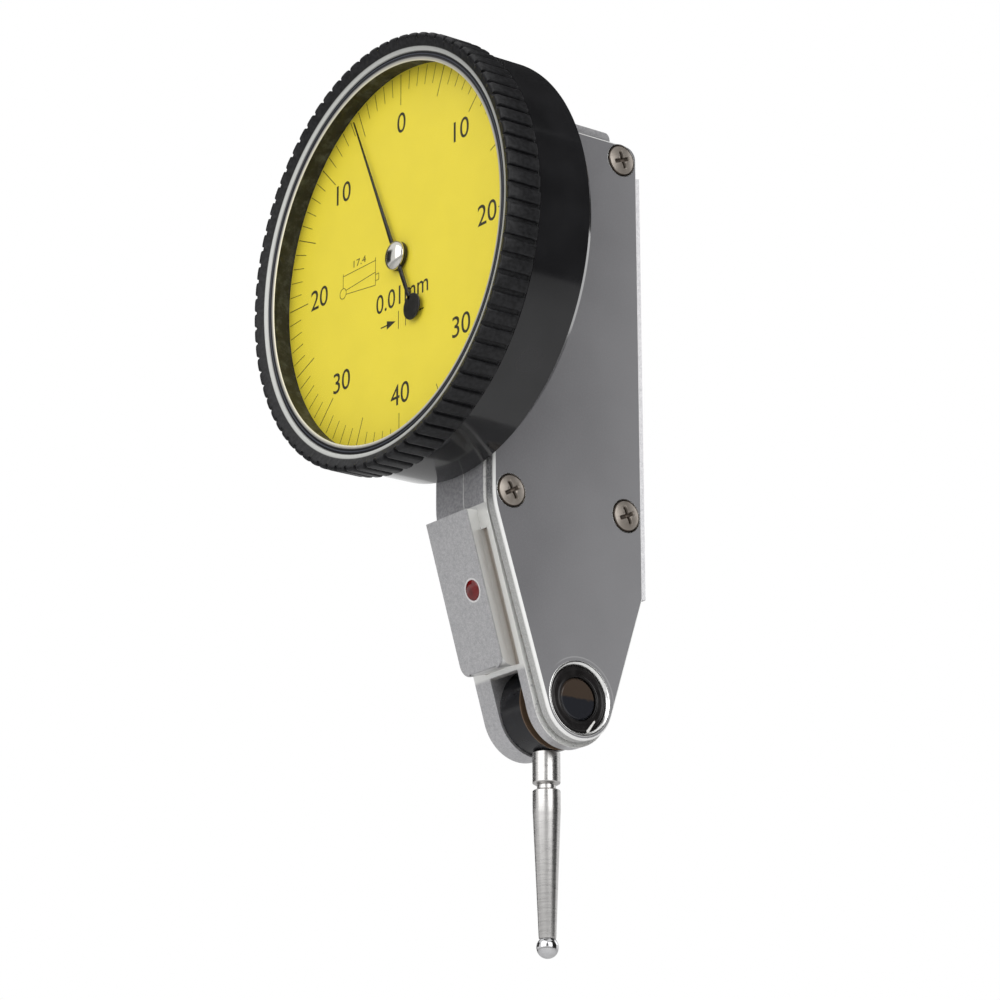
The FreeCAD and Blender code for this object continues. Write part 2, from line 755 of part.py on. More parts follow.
def sector_gear():
    """Toothed sector with a forked tail that the lever's pin works in."""
    towards = math.atan2(-sector_z, crown_y - sector_y)
    step = 2 * math.pi / sector_teeth
    first = towards - (sector_count - 1) / 2 * step
    root = tooth_points(sector_teeth, 0.9)[0][0]

    def place(radius, angle):
        return vec(sector_side, sector_y + radius * math.cos(angle), sector_z + radius * math.sin(angle))

    last = first + (sector_count - 1) * step
    corners = gear_corners(sector_teeth, first, sector_count, place)
    corners += [place(root - 1.0, a) for a in (last, towards, first)]
    plate = Part.Face(Part.makePolygon(corners + corners[:1])).extrude(vec(sector_thick, 0, 0))
    spokes = []
    for angle, lead in ((first, 1), (last, -1)):
        near = angle + lead * 0.02
        tip = place(root - 0.5, near)
        side = vec(0, -math.sin(near), math.cos(near)) * (0.45 * lead)
        hub_point = place(0, 0)
        corners = [hub_point - side * 1.6, hub_point + side * 1.6, tip + side * 1.8, tip]
        spoke = Part.Face(Part.makePolygon(corners + corners[:1])).extrude(vec(sector_thick, 0, 0))
        spokes.append(spoke)
    side_x = sector_side + sector_thick
    hub = prism_x(12, 1.5, sector_side, side_x, sector_y, sector_z)
    tail = block(sector_side, side_x, sector_y - 0.85, sector_y + 0.85, pin_z - 0.7, sector_z)
    plate = plate.fuse(spokes + [hub, tail]).removeSplitter()
    slot = block(0, body_half, sector_y - pin_radius - pin_gap, sector_y + pin_radius + pin_gap,
                 pin_z - 1, pin_z + 0.6)
    hole = prism_x(12, round_hole(arbor_radius), 0, body_half, sector_y, sector_z)
    return plate.cut([slot, hole])


def sector_arbor():
    collar = prism_x(12, 0.8, sector_side - 0.5, sector_side, sector_y, sector_z)
    return arbor_x(sector_y, sector_z, sector_side - 0.5).fuse(collar).removeSplitter()


def arbor_jewels():
    """Jewel bearings in the frame's wall and in the bridge."""
    jewels = []
    for y, z in jewel_places:
        for x0 in (cavity_left - jewel_thick, bridge_side):
            stone = prism_x(12, jewel_radius, x0, x0 + jewel_thick, y, z)
            hole = prism_x(12, round_hole(pivot_radius + fit_gap), x0 - 1, x0 + 2, y, z)
            jewels.append(stone.cut(hole))
    return Part.makeCompound(jewels)


def bridge_wire():
    (y1, z1), (y2, z2), (y3, z3) = pillar_places
    margin = pillar_radius + bridge_margin
    return poly_yz([
        (centre_mesh + cock_width / 2, bridge_top), (y1 + margin, z1 + margin),
        (y2 + margin, z2 - margin), (y2 - margin, z2 - margin), (y3 - margin, z3 - margin),
        (y3 - margin, z3 + margin),
    ])


def movement_bridge():
    """Bridge over the train, with the cock that holds the rear pivot of the pointer arbor."""
    plate = plate_x(bridge_wire(), bridge_side, bridge_side + bridge_thick)
    cock_y = centre_mesh + centre_face / 2 + 0.35
    half = cock_width / 2
    cock = block(-half, bridge_side + 0.1, cock_y, cock_y + cock_thick, -half, half)
    bridge = plate.fuse(cock).removeSplitter()
    cuts = [prism_y(12, round_hole(pivot_radius + fit_gap), 0, body_back)]
    for y, z in jewel_places:
        cuts.append(prism_x(12, jewel_radius, bridge_side - 1, bridge_side + jewel_thick, y, z))
    for y, z in pillar_places:
        cuts.append(prism_x(6, bridge_screw_shank, 0, body_half, y, z))
    return bridge.cut(cuts)


def bridge_pillars():
    pillars = []
    for y, z in pillar_places:
        pillar = prism_x(6, pillar_radius, cavity_left, bridge_side, y, z)
        pillars.append(pillar.cut(prism_x(6, bridge_screw_shank, 0, body_half, y, z)))
    return Part.makeCompound(pillars)


def bridge_screws():
    top = bridge_side + bridge_thick
    screws = []
    for y, z in pillar_places:
        screws.append(hex_screw(bridge_screw_shank, bridge_screw_head, vec(top, y, z), (-1, 0, 0),
                                top - 0.2, bridge_screw_thick))
    return Part.makeCompound(screws)


def hairspring():
    """Flat spiral spring round the crown wheel's arbor, drawn as short straight lengths."""
    x0 = small_side + small_face + 0.15

    def at(i, extra):
        angle = 2 * math.pi * i / spring_bends
        radius = spring_inner + spring_pitch * i / spring_bends + extra
        return vec(x0, crown_y + radius * math.cos(angle), radius * math.sin(angle))

    steps = range(spring_turns * spring_bends + 1)
    corners = [at(i, 0) for i in steps] + [at(i, spring_strip) for i in reversed(steps)]
    return Part.Face(Part.makePolygon(corners + corners[:1])).extrude(vec(spring_height, 0, 0))


def hairspring_stud():
    """Stud on the bridge that pins the spring's outer end."""
    x0 = small_side + small_face + 0.15
    y = crown_y + spring_inner + spring_pitch * spring_turns
    return block(x0, bridge_side, y + spring_strip, y + spring_strip + 0.6, -0.3, 0.3)


def hairspring_collet():
    x0 = small_side + small_face + 0.05
    ring = prism_x(12, collet_radius, x0, x0 + 0.4, crown_y, 0)
    return ring.cut(prism_x(12, round_hole(arbor_radius), 0, body_half, crown_y, 0))


def lever_arm():
    """Lever from the stylus pivot up to the pin that drives the sector."""
    wire = poly_yz([
        (pivot_depth - lever_foot, -pivot_drop), (pivot_depth - lever_tip, pin_z),
        (pivot_depth + lever_tip, pin_z), (pivot_depth + lever_foot, -pivot_drop),
    ])
    x1 = lever_left + lever_thick
    arm = plate_x(wire, lever_left, x1)
    arm = arm.fuse([cyl_x(lever_hub, lever_left, x1, pivot_depth, -pivot_drop),
                    prism_x(12, lever_tip, lever_left, x1, pivot_depth, pin_z)]).removeSplitter()
    return arm.cut([cyl_x(shaft_radius, 0, body_half, pivot_depth, -pivot_drop),
                    prism_x(12, pin_radius, 0, body_half, pivot_depth, pin_z)])


def lever_pin():
    return prism_x(12, pin_radius, sector_side - 0.1, lever_left + lever_thick, pivot_depth, pin_z)


def friction_washer():
    ring = cyl_x(washer_radius, drum_right, lever_left, pivot_depth, -pivot_drop)
    return ring.cut(cyl_x(shaft_radius, -1, body_half, pivot_depth, -pivot_drop))


def pivot_shaft():
    """Shaft of the lever; its right end is the polished cap in the cover's hole."""
    cap_x = body_half - flange_setback - cap_thick
    shaft = cyl_x(shaft_radius, -body_half + 0.2, cap_x + 0.1, pivot_depth, -pivot_drop)
    cap = cyl_x(cap_radius, cap_x, cap_x + cap_thick, pivot_depth, -pivot_drop)
    cap = cap.makeChamfer(0.15, [e for e in cap.Edges if e.BoundBox.XMin > cap_x + cap_thick - 1e-6])
    shaft = shaft.fuse(cap).removeSplitter()
    slot = block(-body_half, -body_half + 0.5, pivot_depth - 2, pivot_depth + 2,
                 -pivot_drop - 0.15, -pivot_drop + 0.15)
    return shaft.cut(slot)


def pivot_bushing_left():
    bush = cyl_x(left_bush_radius, -body_half, -fork_half, pivot_depth, -pivot_drop)
    return bush.cut(cyl_x(shaft_radius + fit_gap, -body_half - 1, 0, pivot_depth, -pivot_drop))


def pivot_bushing_right():
    """Flanged bushing in the right cheek, slit through the flange for a wrench."""
    face = body_half - flange_setback
    cap_x = face - cap_thick
    bush = cyl_x(right_bush_radius, fork_half, frame_right, pivot_depth, -pivot_drop)
    bush = bush.fuse(cyl_x(flange_radius, frame_right, face, pivot_depth, -pivot_drop))
    bore = cyl_x(shaft_radius + fit_gap, 0, body_half, pivot_depth, -pivot_drop)
    seat = cyl_x(cap_radius + cap_gap, cap_x - fit_gap, body_half, pivot_depth, -pivot_drop)
    slit = block(cap_x, body_half, -flange_radius - 1, 0, -bush_slit / 2, bush_slit / 2)
    slit.rotate(vec(0, 0, 0), vec(1, 0, 0), 120)
    slit.translate(vec(0, pivot_depth, -pivot_drop))
    return bush.removeSplitter().cut([bore, seat, slit])


def stylus_drum():
    """Drum that the stylus is screwed into, gripped on the shaft by the friction washer."""
    drum = cyl_x(drum_radius, drum_left, drum_right, pivot_depth, -pivot_drop)
    hole = prism(6, thread_radius, vec(stylus_side, pivot_depth, -shoulder - 1), (0, 0, 1), thread_length + 1)
    bore = cyl_x(shaft_radius + drum_bore_gap, -body_half, body_half, pivot_depth, -pivot_drop)
    return drum.cut([hole, bore])


def stylus_shank():
    """Turned stylus: threaded end, shoulder, wrench groove, long taper, seat for the ball."""
    z = -shoulder
    groove_top = z - shank_upper
    groove_end = groove_top - groove_height
    taper = groove_end - shank_lower
    slope = 0.2

    def clear(radius):
        return -ball_drop + math.sqrt(ball_radius ** 2 - radius ** 2) + seat_gap

    shank = turned_z([
        (0, z), (shank_radius, z), (shank_radius, groove_top), (groove_radius, groove_top - slope),
        (groove_radius, groove_end + slope), (shank_radius, groove_end), (shank_radius, taper),
        (tip_radius, clear(tip_radius)), (dish_middle, clear(dish_middle)), (0, clear(0)),
    ], stylus_side, pivot_depth)
    return shank.fuse(prism(6, thread_radius, vec(stylus_side, pivot_depth, z), (0, 0, 1), thread_length))


def contact_ball():
    return Part.makeSphere(ball_radius, vec(stylus_side, pivot_depth, -ball_drop))


def turned_to_rest(shape):
    """Turn a pointer piece from straight up to its place at rest, clockwise from the front."""
    shape.rotate(vec(0, 0, 0), vec(0, 1, 0), pointer_angle)
    return shape


def pointer():
    """Needle with its boss and the round counterweight."""
    back = -pointer_back
    corners = [
        (-pointer_root / 2, 0), (-pointer_tip / 2, pointer_reach - 0.2), (0, pointer_reach),
        (pointer_tip / 2, pointer_reach - 0.2), (pointer_root / 2, 0),
        (tail_width / 2, -tail_reach), (-tail_width / 2, -tail_reach),
    ]
    points = [vec(x, back - pointer_thick, z) for x, z in corners]
    needle = Part.Face(Part.makePolygon(points + points[:1])).extrude(vec(0, pointer_thick, 0))
    weight = cyl_y(tail_radius, back - pointer_thick, back, 0, -tail_reach)
    boss = cyl_y(boss_radius, back - pointer_thick, back + 0.2)
    shape = needle.fuse([weight, boss]).removeSplitter()
    return turned_to_rest(shape.cut(prism_y(12, round_hole(arbor_radius), -2, 2)))


def pointer_hub():
    """Polished domed cap over the end of the arbor."""
    seat = -(pointer_back + pointer_thick)
    ball = (hub_radius ** 2 + hub_height ** 2) / (2 * hub_height)
    dome = Part.makeSphere(ball, vec(0, seat - hub_height + ball, 0))
    return dome.common(cyl_y(hub_radius, seat - hub_height - 1, seat))


PIECES = [
    frame, fork_cheek_left, fork_cheek_right, fork_webs, side_cover, cover_screws, colour_dot, dial_case, case_screws, retaining_wire, centre_bush,
    pivot_bushing_left, pivot_bushing_right, movement_bridge, bridge_pillars, bridge_screws,
    arbor_jewels, hairspring, hairspring_stud, bezel_ring, crystal, dial_face, dial_snap_ring,
    pointer, pointer_hub, centre_arbor, crown_gear, crown_arbor, hairspring_collet, sector_gear,
    sector_arbor, lever_arm, lever_pin, friction_washer, pivot_shaft, stylus_drum, stylus_shank,
    contact_ball,
]

os.makedirs("parts", exist_ok=True)
for piece in PIECES:
    save(piece.__name__, piece())
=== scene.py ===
"""Looks of a dial test indicator: finishes, dial print, grip ridges, turned steel and light."""
import math

import bpy
import numpy as np
from mathutils import Matrix, Vector


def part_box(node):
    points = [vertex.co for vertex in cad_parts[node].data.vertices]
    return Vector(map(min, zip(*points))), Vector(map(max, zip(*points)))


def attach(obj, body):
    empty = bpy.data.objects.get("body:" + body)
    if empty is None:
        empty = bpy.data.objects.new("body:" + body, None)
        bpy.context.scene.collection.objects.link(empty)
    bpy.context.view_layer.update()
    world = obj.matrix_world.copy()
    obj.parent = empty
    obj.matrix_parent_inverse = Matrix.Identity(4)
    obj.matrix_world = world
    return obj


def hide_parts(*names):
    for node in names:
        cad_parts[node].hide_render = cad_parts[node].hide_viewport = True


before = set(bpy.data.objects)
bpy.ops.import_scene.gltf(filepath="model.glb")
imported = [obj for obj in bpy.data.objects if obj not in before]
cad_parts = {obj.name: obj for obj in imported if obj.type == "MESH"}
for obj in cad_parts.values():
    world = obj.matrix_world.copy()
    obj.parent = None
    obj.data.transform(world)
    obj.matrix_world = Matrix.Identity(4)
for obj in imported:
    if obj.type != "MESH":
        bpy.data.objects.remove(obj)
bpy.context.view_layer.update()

# ---- Sweep, lamps and camera ----------------------------------------------------------------
# The indicator hangs by its rear dovetail before a plain white sweep. Large soft boxes and the
# white room light it; the camera looks up at it from a little below and to the right.
MM = 0.001
camera_place = Vector((248.08, -199.20, -110.58)) * MM
camera_right = Vector((0.59793, 0.80155, 0.0))
camera_back = Vector((0.76440, -0.57015, -0.30100)).normalized()
camera_roll = math.radians(-0.174)
camera_lens = 130.519
room_strength = 0.62
floor_level = -160.0
floor_half = 3.0
sweep_white = (0.86, 0.86, 0.86)
soft_boxes = [
    ("key", (60, -380, 170), 420, 0.85),
    ("side", (350, -50, 100), 260, 0.50),
    ("rim", (60, 320, 160), 200, 0.12),
]
cards = [                  # seen only by mirrors: direction, distance, width, height, grey
    ("dark_card_right", (0.76, 0.57, 0.34), 600, 640, 760, 0.02),
    ("dark_card_left", (-0.97, -0.10, 0.10), 700, 260, 900, 0.02),
    ("dark_card_top", (-0.55, 0.55, 0.62), 700, 620, 420, 0.02),
    ("dark_card_high", (-0.05, 0.57, 0.82), 700, 620, 460, 0.02),
    ("dark_card_front", (-0.80, -0.52, 0.28), 800, 420, 380, 0.02),
    ("grey_card", (0.80, -0.53, 0.28), 800, 460, 420, 0.40),
]

right = (camera_right - camera_back * camera_right.dot(camera_back)).normalized()
up = camera_back.cross(right)
camera = bpy.data.objects.new("camera", bpy.data.cameras.new("camera"))
camera.data.sensor_width = 36.0
camera.data.lens = camera_lens
camera.data.clip_start = 0.01
camera.matrix_world = Matrix((
    (right.x, up.x, camera_back.x, camera_place.x),
    (right.y, up.y, camera_back.y, camera_place.y),
    (right.z, up.z, camera_back.z, camera_place.z),
    (0, 0, 0, 1),
)) @ Matrix.Rotation(camera_roll, 4, "Z")
bpy.context.scene.collection.objects.link(camera)
bpy.context.scene.camera = camera
bpy.context.scene.view_settings.view_transform = "Standard"


class Wire:
    """A value in a node tree. Sums and products of wires and numbers add their Math nodes."""

    def __init__(self, finish, socket):
        self.finish = finish
        self.socket = socket

    def math(self, operation, *others):
        values = dict(enumerate((self, *others)))
        return self.finish.node("Math", {"operation": operation}, values)

    def __add__(self, other):
        return self.math("ADD", other)

    def __sub__(self, other):
        return self.math("SUBTRACT", other)

    def __mul__(self, other):
        return self.math("MULTIPLY", other)

    def __truediv__(self, other):
        return self.math("DIVIDE", other)

    def __rsub__(self, other):
        return self.finish.node("Math", {"operation": "SUBTRACT"}, {0: other, 1: self})

    __radd__ = __add__
    __rmul__ = __mul__

    def between(self, low, high):
        """0 below low, 1 above high, and a smooth step from one to the other."""
        return self.finish.node("MapRange", {"interpolation_type": "SMOOTHSTEP"},
                                {"Value": self, "From Min": low, "From Max": high})

    def band(self, low, high, soft):
        """1 from low to high, with edges soft wide."""
        return self.between(low - soft, low) * (1 - self.between(high, high + soft))


class Nodes:
    """A node tree that is filled through one method for every kind of node."""

    def __init__(self, tree):
        self.tree = tree
        self.tree.nodes.clear()

    def put(self, socket, value):
        if isinstance(value, Wire):
            self.tree.links.new(value.socket, socket)
        elif socket.type == "RGBA":
            socket.default_value = (*value, 1)
        else:
            socket.default_value = value

    def node(self, kind, settings=None, values=None, output=0):
        """Adds a node: settings first, then the values or wires of its inputs."""
        made = self.tree.nodes.new("ShaderNode" + kind)
        for key, value in (settings or {}).items():
            if key == "stops":
                elements = made.color_ramp.elements
                elements[0].position, elements[1].position = value[0][0], value[-1][0]
                for place, _ in value[1:-1]:
                    elements.new(place)
                for element, (_, colour) in zip(elements, value):
                    element.color = (*colour, 1)
            else:
                setattr(made, key, value)
        for key, value in (values or {}).items():
            self.put(made.inputs[key], value)
        return Wire(self, made.outputs[output])

    def place(self, axis=None):
        """Object coordinates in metres, or one of them."""
        whole = self.node("TexCoord", output=3)
        return whole if axis is None else self.node("SeparateXYZ", None, {0: whole}, "XYZ".index(axis))

    def noise(self, size, detail=3.0, rough=0.5, stretch=(1, 1, 1)):
        """Noise of that grain size in millimetres, longer where stretch is above 1."""
        scale = tuple(1 / part for part in stretch)
        spot = self.node("Mapping", None, {"Vector": self.place(), "Scale": scale})
        return self.node("TexNoise", None, {"Vector": spot, "Scale": 1 / (size * MM),
                                            "Detail": detail, "Roughness": rough})

    def blend(self, share, first, second):
        """The first colour at share 0, the second at 1."""
        return self.node("Mix", {"data_type": "RGBA"}, {0: share, 6: first, 7: second}, 2)


class Finish(Nodes):
    """A material: one Principled shader and what varies it over the surface."""

    def __init__(self, name, **constants):
        self.material = bpy.data.materials.new(name)
        self.material.use_nodes = True
        super().__init__(self.material.node_tree)
        self.shader = self.tree.nodes.new("ShaderNodeBsdfPrincipled")
        self.out = self.tree.nodes.new("ShaderNodeOutputMaterial")
        self.tree.links.new(self.shader.outputs[0], self.out.inputs[0])
        self.set(**constants)

    def set(self, **values):
        """Inputs by their names, written small with underscores."""
        for key, value in values.items():
            title = " ".join(w if w == "IOR" else w.capitalize() for w in key.split("_"))
            self.put(self.shader.inputs[title], value)
        return self

    def relief(self, height, depth):
        """Bump of that depth in millimetres."""
        self.set(normal=self.node("Bump", None, {"Height": height, "Distance": depth * MM,
                                                 "Strength": 1.0}))
        return self

    def tone(self, colour, spread, size, **noise):
        """The colour, lighter and darker by spread in patches of that size."""
        dark = tuple(max(0.0, part * (1 - spread)) for part in colour)
        light = tuple(min(1.0, part * (1 + spread)) for part in colour)
        share = self.noise(size, **noise).between(0.25, 0.75)
        self.set(base_color=self.blend(share, dark, light))
        return self

    def worn(self, rough, spread, size, **noise):
        """Roughness that wanders by spread about rough."""
        self.set(roughness=self.noise(size, **noise) * (2 * spread) + (rough - spread))
        return self


def surround(tree):
    """White where the camera, a mirror or glass sees it, and room_strength as light."""
    nodes = Nodes(tree)
    seen = [nodes.node("LightPath", output=kind)
            for kind in ("Is Camera Ray", "Is Glossy Ray", "Is Transmission Ray")]
    clear = seen[0].math("MAXIMUM", seen[1]).math("MAXIMUM", seen[2])
    back = nodes.node("Background", None, {"Color": (1, 1, 1),
                                           "Strength": clear * (1 - room_strength) + room_strength})
    out = nodes.tree.nodes.new("ShaderNodeOutputWorld")
    nodes.tree.links.new(back.socket, out.inputs[0])


world = bpy.data.worlds.new("white_room")
bpy.context.scene.world = world
world.use_nodes = True
surround(world.node_tree)

for name, way, distance, wide, tall, grey in cards:
    # Only mirrors see a card: it gives polished metal and black lacquer their dark side.
    card_paper = Finish(name + "_paper", roughness=0.9).tone((grey, grey, grey), 0.1, 60)
    mesh = bpy.data.meshes.new(name)
    turn = Vector(way).to_track_quat("Z", "Y").to_matrix()
    middle = Vector(way).normalized() * distance
    mesh.from_pydata([(middle + turn @ Vector((a * wide / 2, b * tall / 2, 0))) * MM
                      for a, b in ((-1, -1), (1, -1), (1, 1), (-1, 1))], [], [(0, 1, 2, 3)])
    mesh.materials.append(card_paper.material)
    card = bpy.data.objects.new(name, mesh)
    bpy.context.scene.collection.objects.link(card)
    card.visible_camera = card.visible_diffuse = card.visible_shadow = False
    card.visible_transmission = False

for name, place, size, power in soft_boxes:
    data = bpy.data.lights.new(name, "AREA")
    data.size = size * MM
    data.energy = power
    box_lamp = bpy.data.objects.new(name, data)
    box_lamp.location = Vector(place) * MM
    box_lamp.rotation_euler = Vector(place).to_track_quat("Z", "Y").to_euler()
    bpy.context.scene.collection.objects.link(box_lamp)

sweep = Finish("sweep_paper", roughness=0.9).tone(sweep_white, 0.01, 40)
mesh = bpy.data.meshes.new("floor")
h, z = floor_half, floor_level * MM
mesh.from_pydata([(-h, -h, z), (h, -h, z), (h, h, z), (-h, h, z)], [], [(0, 1, 2, 3)])
floor = bpy.data.objects.new("floor", mesh)
mesh.materials.append(sweep.material)
bpy.context.scene.collection.objects.link(floor)


# ---- Frame and fork: painted and machined casting -------------------------------------------
# The body is a flat zinc casting. Its flat sides and the front of the neck are painted dark grey; the
# dovetails and the slanting faces are milled bright afterwards and show a fine grain. The slanting
# strips beside the rails are painted near white, and thin bright lines run along the edge beside
# the cover and along the parting line: both are painted highlights.
frame_low, frame_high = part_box("frame")
neck_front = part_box("dial_case")[1].y
rail_out = Vector((0.0, -0.958028, -0.286676))     # outward from the slanting face
slant_level = rail_out.dot(Vector((0.0, neck_front, -14.55 * MM)))
paint_grey = (0.345, 0.343, 0.358)
neck_grey = (0.245, 0.243, 0.256)
milled_grey = (0.38, 0.378, 0.392)
milled_light = (0.56, 0.557, 0.565)
highlight_white = (0.83, 0.83, 0.81)
groove_tan = (0.52, 0.46, 0.40)
parting_place = -0.1 * MM
neck_end = -14.55          # lower end of the painted neck, above the part's origin
side_skin = 0.12           # the paint reaches this far in from the flat side


def paint(finish, *names):
    """Gives CAD nodes the finish."""
    for name in names:
        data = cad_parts[name].data
        data.materials.clear()
        data.materials.append(finish.material)


body = Finish("painted_and_milled_casting", metallic=0.0)
x, y, z = body.place("X"), body.place("Y"), body.place("Z")
side = 1 - x.between(frame_low.x + side_skin * MM, frame_low.x + (side_skin + 0.06) * MM)
neck = (1 - y.between(neck_front + 0.10 * MM, neck_front + 0.18 * MM)) * z.between(
    (neck_end - 0.05) * MM, (neck_end + 0.05) * MM)
painted = side.math("MAXIMUM", neck)
grain = body.noise(0.13, detail=4, rough=0.7)
streak = body.noise(0.35, detail=3)
face = body.blend((grain * 0.7 + streak * 0.3).between(0.32, 0.68), milled_grey, milled_light)
out = body.node("VectorMath", {"operation": "DOT_PRODUCT"},
                {0: body.place(), 1: tuple(rail_out)}, "Value") - slant_level
raised = out.between(1.9 * MM, 2.05 * MM)
below = z.between(-14.6 * MM, -14.3 * MM)
sunk = 1 - out.between(-0.38 * MM, -0.10 * MM)
# Painted highlight: the slanting strips beside the rails, between the neck and the slot, are painted near
# white, lighter than the milled rail.
slant_highlight = (1 - raised) * (1 - below) * out.between(-0.6 * MM, -0.45 * MM) * z.between(
    -29.2 * MM, -28.8 * MM)
bright = body.blend(slant_highlight * 0.85, face, body.blend(sunk * 0.8, highlight_white, groove_tan))
coat = body.blend(body.noise(0.22, detail=3).between(0.3, 0.7), neck_grey, paint_grey)
# Painted highlights, broken by noise: bright lines along the edge beside the cover, broader on
# the neck, and along the mould's parting line.
broken = body.noise(0.4, detail=3, rough=0.7).between(0.30, 0.48)
edge_start = frame_high.x - (0.14 + neck * 0.22) * MM
edge_highlight_line = x.between(edge_start, edge_start + 0.05 * MM) * broken.math("MAXIMUM", neck * 0.7)
parting = x.band(parting_place - 0.02 * MM, parting_place + 0.02 * MM, 0.07 * MM) * neck * broken
lines = edge_highlight_line.math("MAXIMUM", parting * 0.65)
body.set(base_color=body.blend(lines, body.blend(painted, bright, coat), highlight_white),
         metallic=(1 - painted) * 0.75,
         roughness=painted * 0.20 + (grain * 0.14 + 0.34))
body.relief(grain * 0.6 + streak * 0.4, 0.012)
paint(body, "frame", "fork_cheek_left", "fork_cheek_right", "fork_webs")


# ---- Side cover -----------------------------------------------------------------------------
# A pressed zinc plate painted the same grey as the body, with a fine orange-peel texture; painted
# light makes it lighter towards its rear and bottom. Its bevelled edge is bare and grainy, darker
# above the neck's end and lighter below, with painted highlights along the outer chamfer and on the
# upper right of a thin ring round the pivot hole.
cover_low, cover_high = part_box("side_cover")
cover_shaded_grey = (0.105, 0.104, 0.111)
cover_lit_grey = (0.215, 0.214, 0.222)
edge_grain_and_highlight = (0.80, 0.80, 0.79)
edge_upper = (0.13, 0.13, 0.137)
edge_lower = (0.36, 0.36, 0.355)
pivot_low, pivot_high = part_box("pivot_bushing_right")
pivot = Vector((cover_high.x, (pivot_low.y + pivot_high.y) / 2, (pivot_low.z + pivot_high.z) / 2))
hole_radius = 3.24

cover = Finish("cover_paint", specular_IOR_level=0.4)
x, y, z = cover.place("X"), cover.place("Y"), cover.place("Z")
# Painted light: the plate's grey is lighter towards its rear and towards its bottom edge.
lift = (y - cover_low.y) / (cover_high.y - cover_low.y)
low = 1 - (z - cover_low.z) / (cover_high.z - cover_low.z)
wander = cover.noise(9, detail=2) * 0.35
flat = cover.blend((lift * 0.45 + low * 0.35 + wander).between(0.15, 1.0), cover_shaded_grey, cover_lit_grey)
speck = cover.noise(0.14, detail=4, rough=0.7)
facing = cover.node("SeparateXYZ", None, {0: cover.node("NewGeometry", output="True Normal")}, 0)
rim = 1 - facing.between(0.75, 0.95)
from_y, from_z = y - pivot.y, z - pivot.z
ring_reach = (from_y * from_y + from_z * from_z).math("SQRT") / MM
# Painted highlight: a thin light ring round the pivot hole, on its upper right side only.
hole_highlight = ring_reach.band(3.72, 3.74, 0.08) * (from_y + from_z).between(-1 * MM, 2 * MM) * 0.16
# Painted highlight along the outer chamfer of the edge; the edge's grain specks take the same light grey.
chamfer_highlight = x.between(cover_high.x - 0.36 * MM, cover_high.x - 0.26 * MM)
edge_face = cover.blend(z.between(-15.5 * MM, -13.5 * MM), edge_lower, edge_upper)
edge_grain = cover.noise(0.16, detail=4, rough=0.75).between(0.38, 0.68)
edge_tone = cover.blend(chamfer_highlight, cover.blend(edge_grain * 0.32, edge_face, edge_grain_and_highlight), edge_grain_and_highlight)
tinted = cover.blend(speck.between(0.35, 0.75) * 0.22, flat, (0.24, 0.24, 0.245))
lined = cover.blend(hole_highlight, tinted, edge_grain_and_highlight)
cover.set(base_color=cover.blend(rim, lined, edge_tone),
          metallic=rim * 0.2, roughness=speck * 0.12 + 0.42)
cover.relief(speck, 0.010)
paint(cover, "side_cover")


# ---- Case screws and bridge screws ----------------------------------------------------------
# Cheese-head steel screws with a cross recess, nickel plated to a warm tone. The box of the cover
# screws is read here for their heads below.
nickel = (0.46, 0.42, 0.375)

screw = Finish("nickel_plate", metallic=1.0).tone(nickel, 0.16, 0.5, detail=3)
screw.worn(0.24, 0.07, 0.25).relief(screw.noise(0.12, detail=3), 0.004)
paint(screw, "case_screws", "bridge_screws")
screw_low, screw_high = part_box("cover_screws")


# ---- Red enamel dot -------------------------------------------------------------------------
# A drop of red enamel fills a shallow round recess in the front dovetail. It stands a little
# proud as a glossy bead.
dot_low, dot_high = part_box("colour_dot")
enamel_red = (0.115, 0.004, 0.004)
dot_radius = 0.93
dot_rise = 0.16


def skin(name, grid, turns=False, closed=False, finish=None, sharp=32):
    """A mesh over a grid of points (rows, columns, xyz); turns joins the last column to the
    first, closed the last row to the first. Edges sharper than the angle stay crisp."""
    rows, columns, _ = grid.shape
    index = np.arange(rows * columns).reshape(rows, columns)
    if turns:
        index = np.hstack([index, index[:, :1]])
    if closed:
        index = np.vstack([index, index[:1]])
    quads = np.stack([index[:-1, :-1], index[:-1, 1:], index[1:, 1:], index[1:, :-1]], -1)
    made = bpy.data.meshes.new(name)
    made.from_pydata(grid.reshape(-1, 3), [], quads.reshape(-1, 4))
    return finished(name, made, finish, sharp)


def finished(name, made, finish, sharp=32):
    """Merges doubled points, turns faces outwards, smooths, and links the piece."""
    import bmesh
    work = bmesh.new()
    work.from_mesh(made)
    bmesh.ops.remove_doubles(work, verts=work.verts, dist=2e-7)
    bmesh.ops.dissolve_degenerate(work, dist=1e-8, edges=work.edges)
    bmesh.ops.recalc_face_normals(work, faces=work.faces)
    work.to_mesh(made)
    work.free()
    made.shade_smooth()
    made.set_sharp_from_angle(angle=math.radians(sharp))
    if finish:
        made.materials.append(finish.material)
    piece = bpy.data.objects.new(name, made)
    bpy.context.scene.collection.objects.link(piece)
    return piece


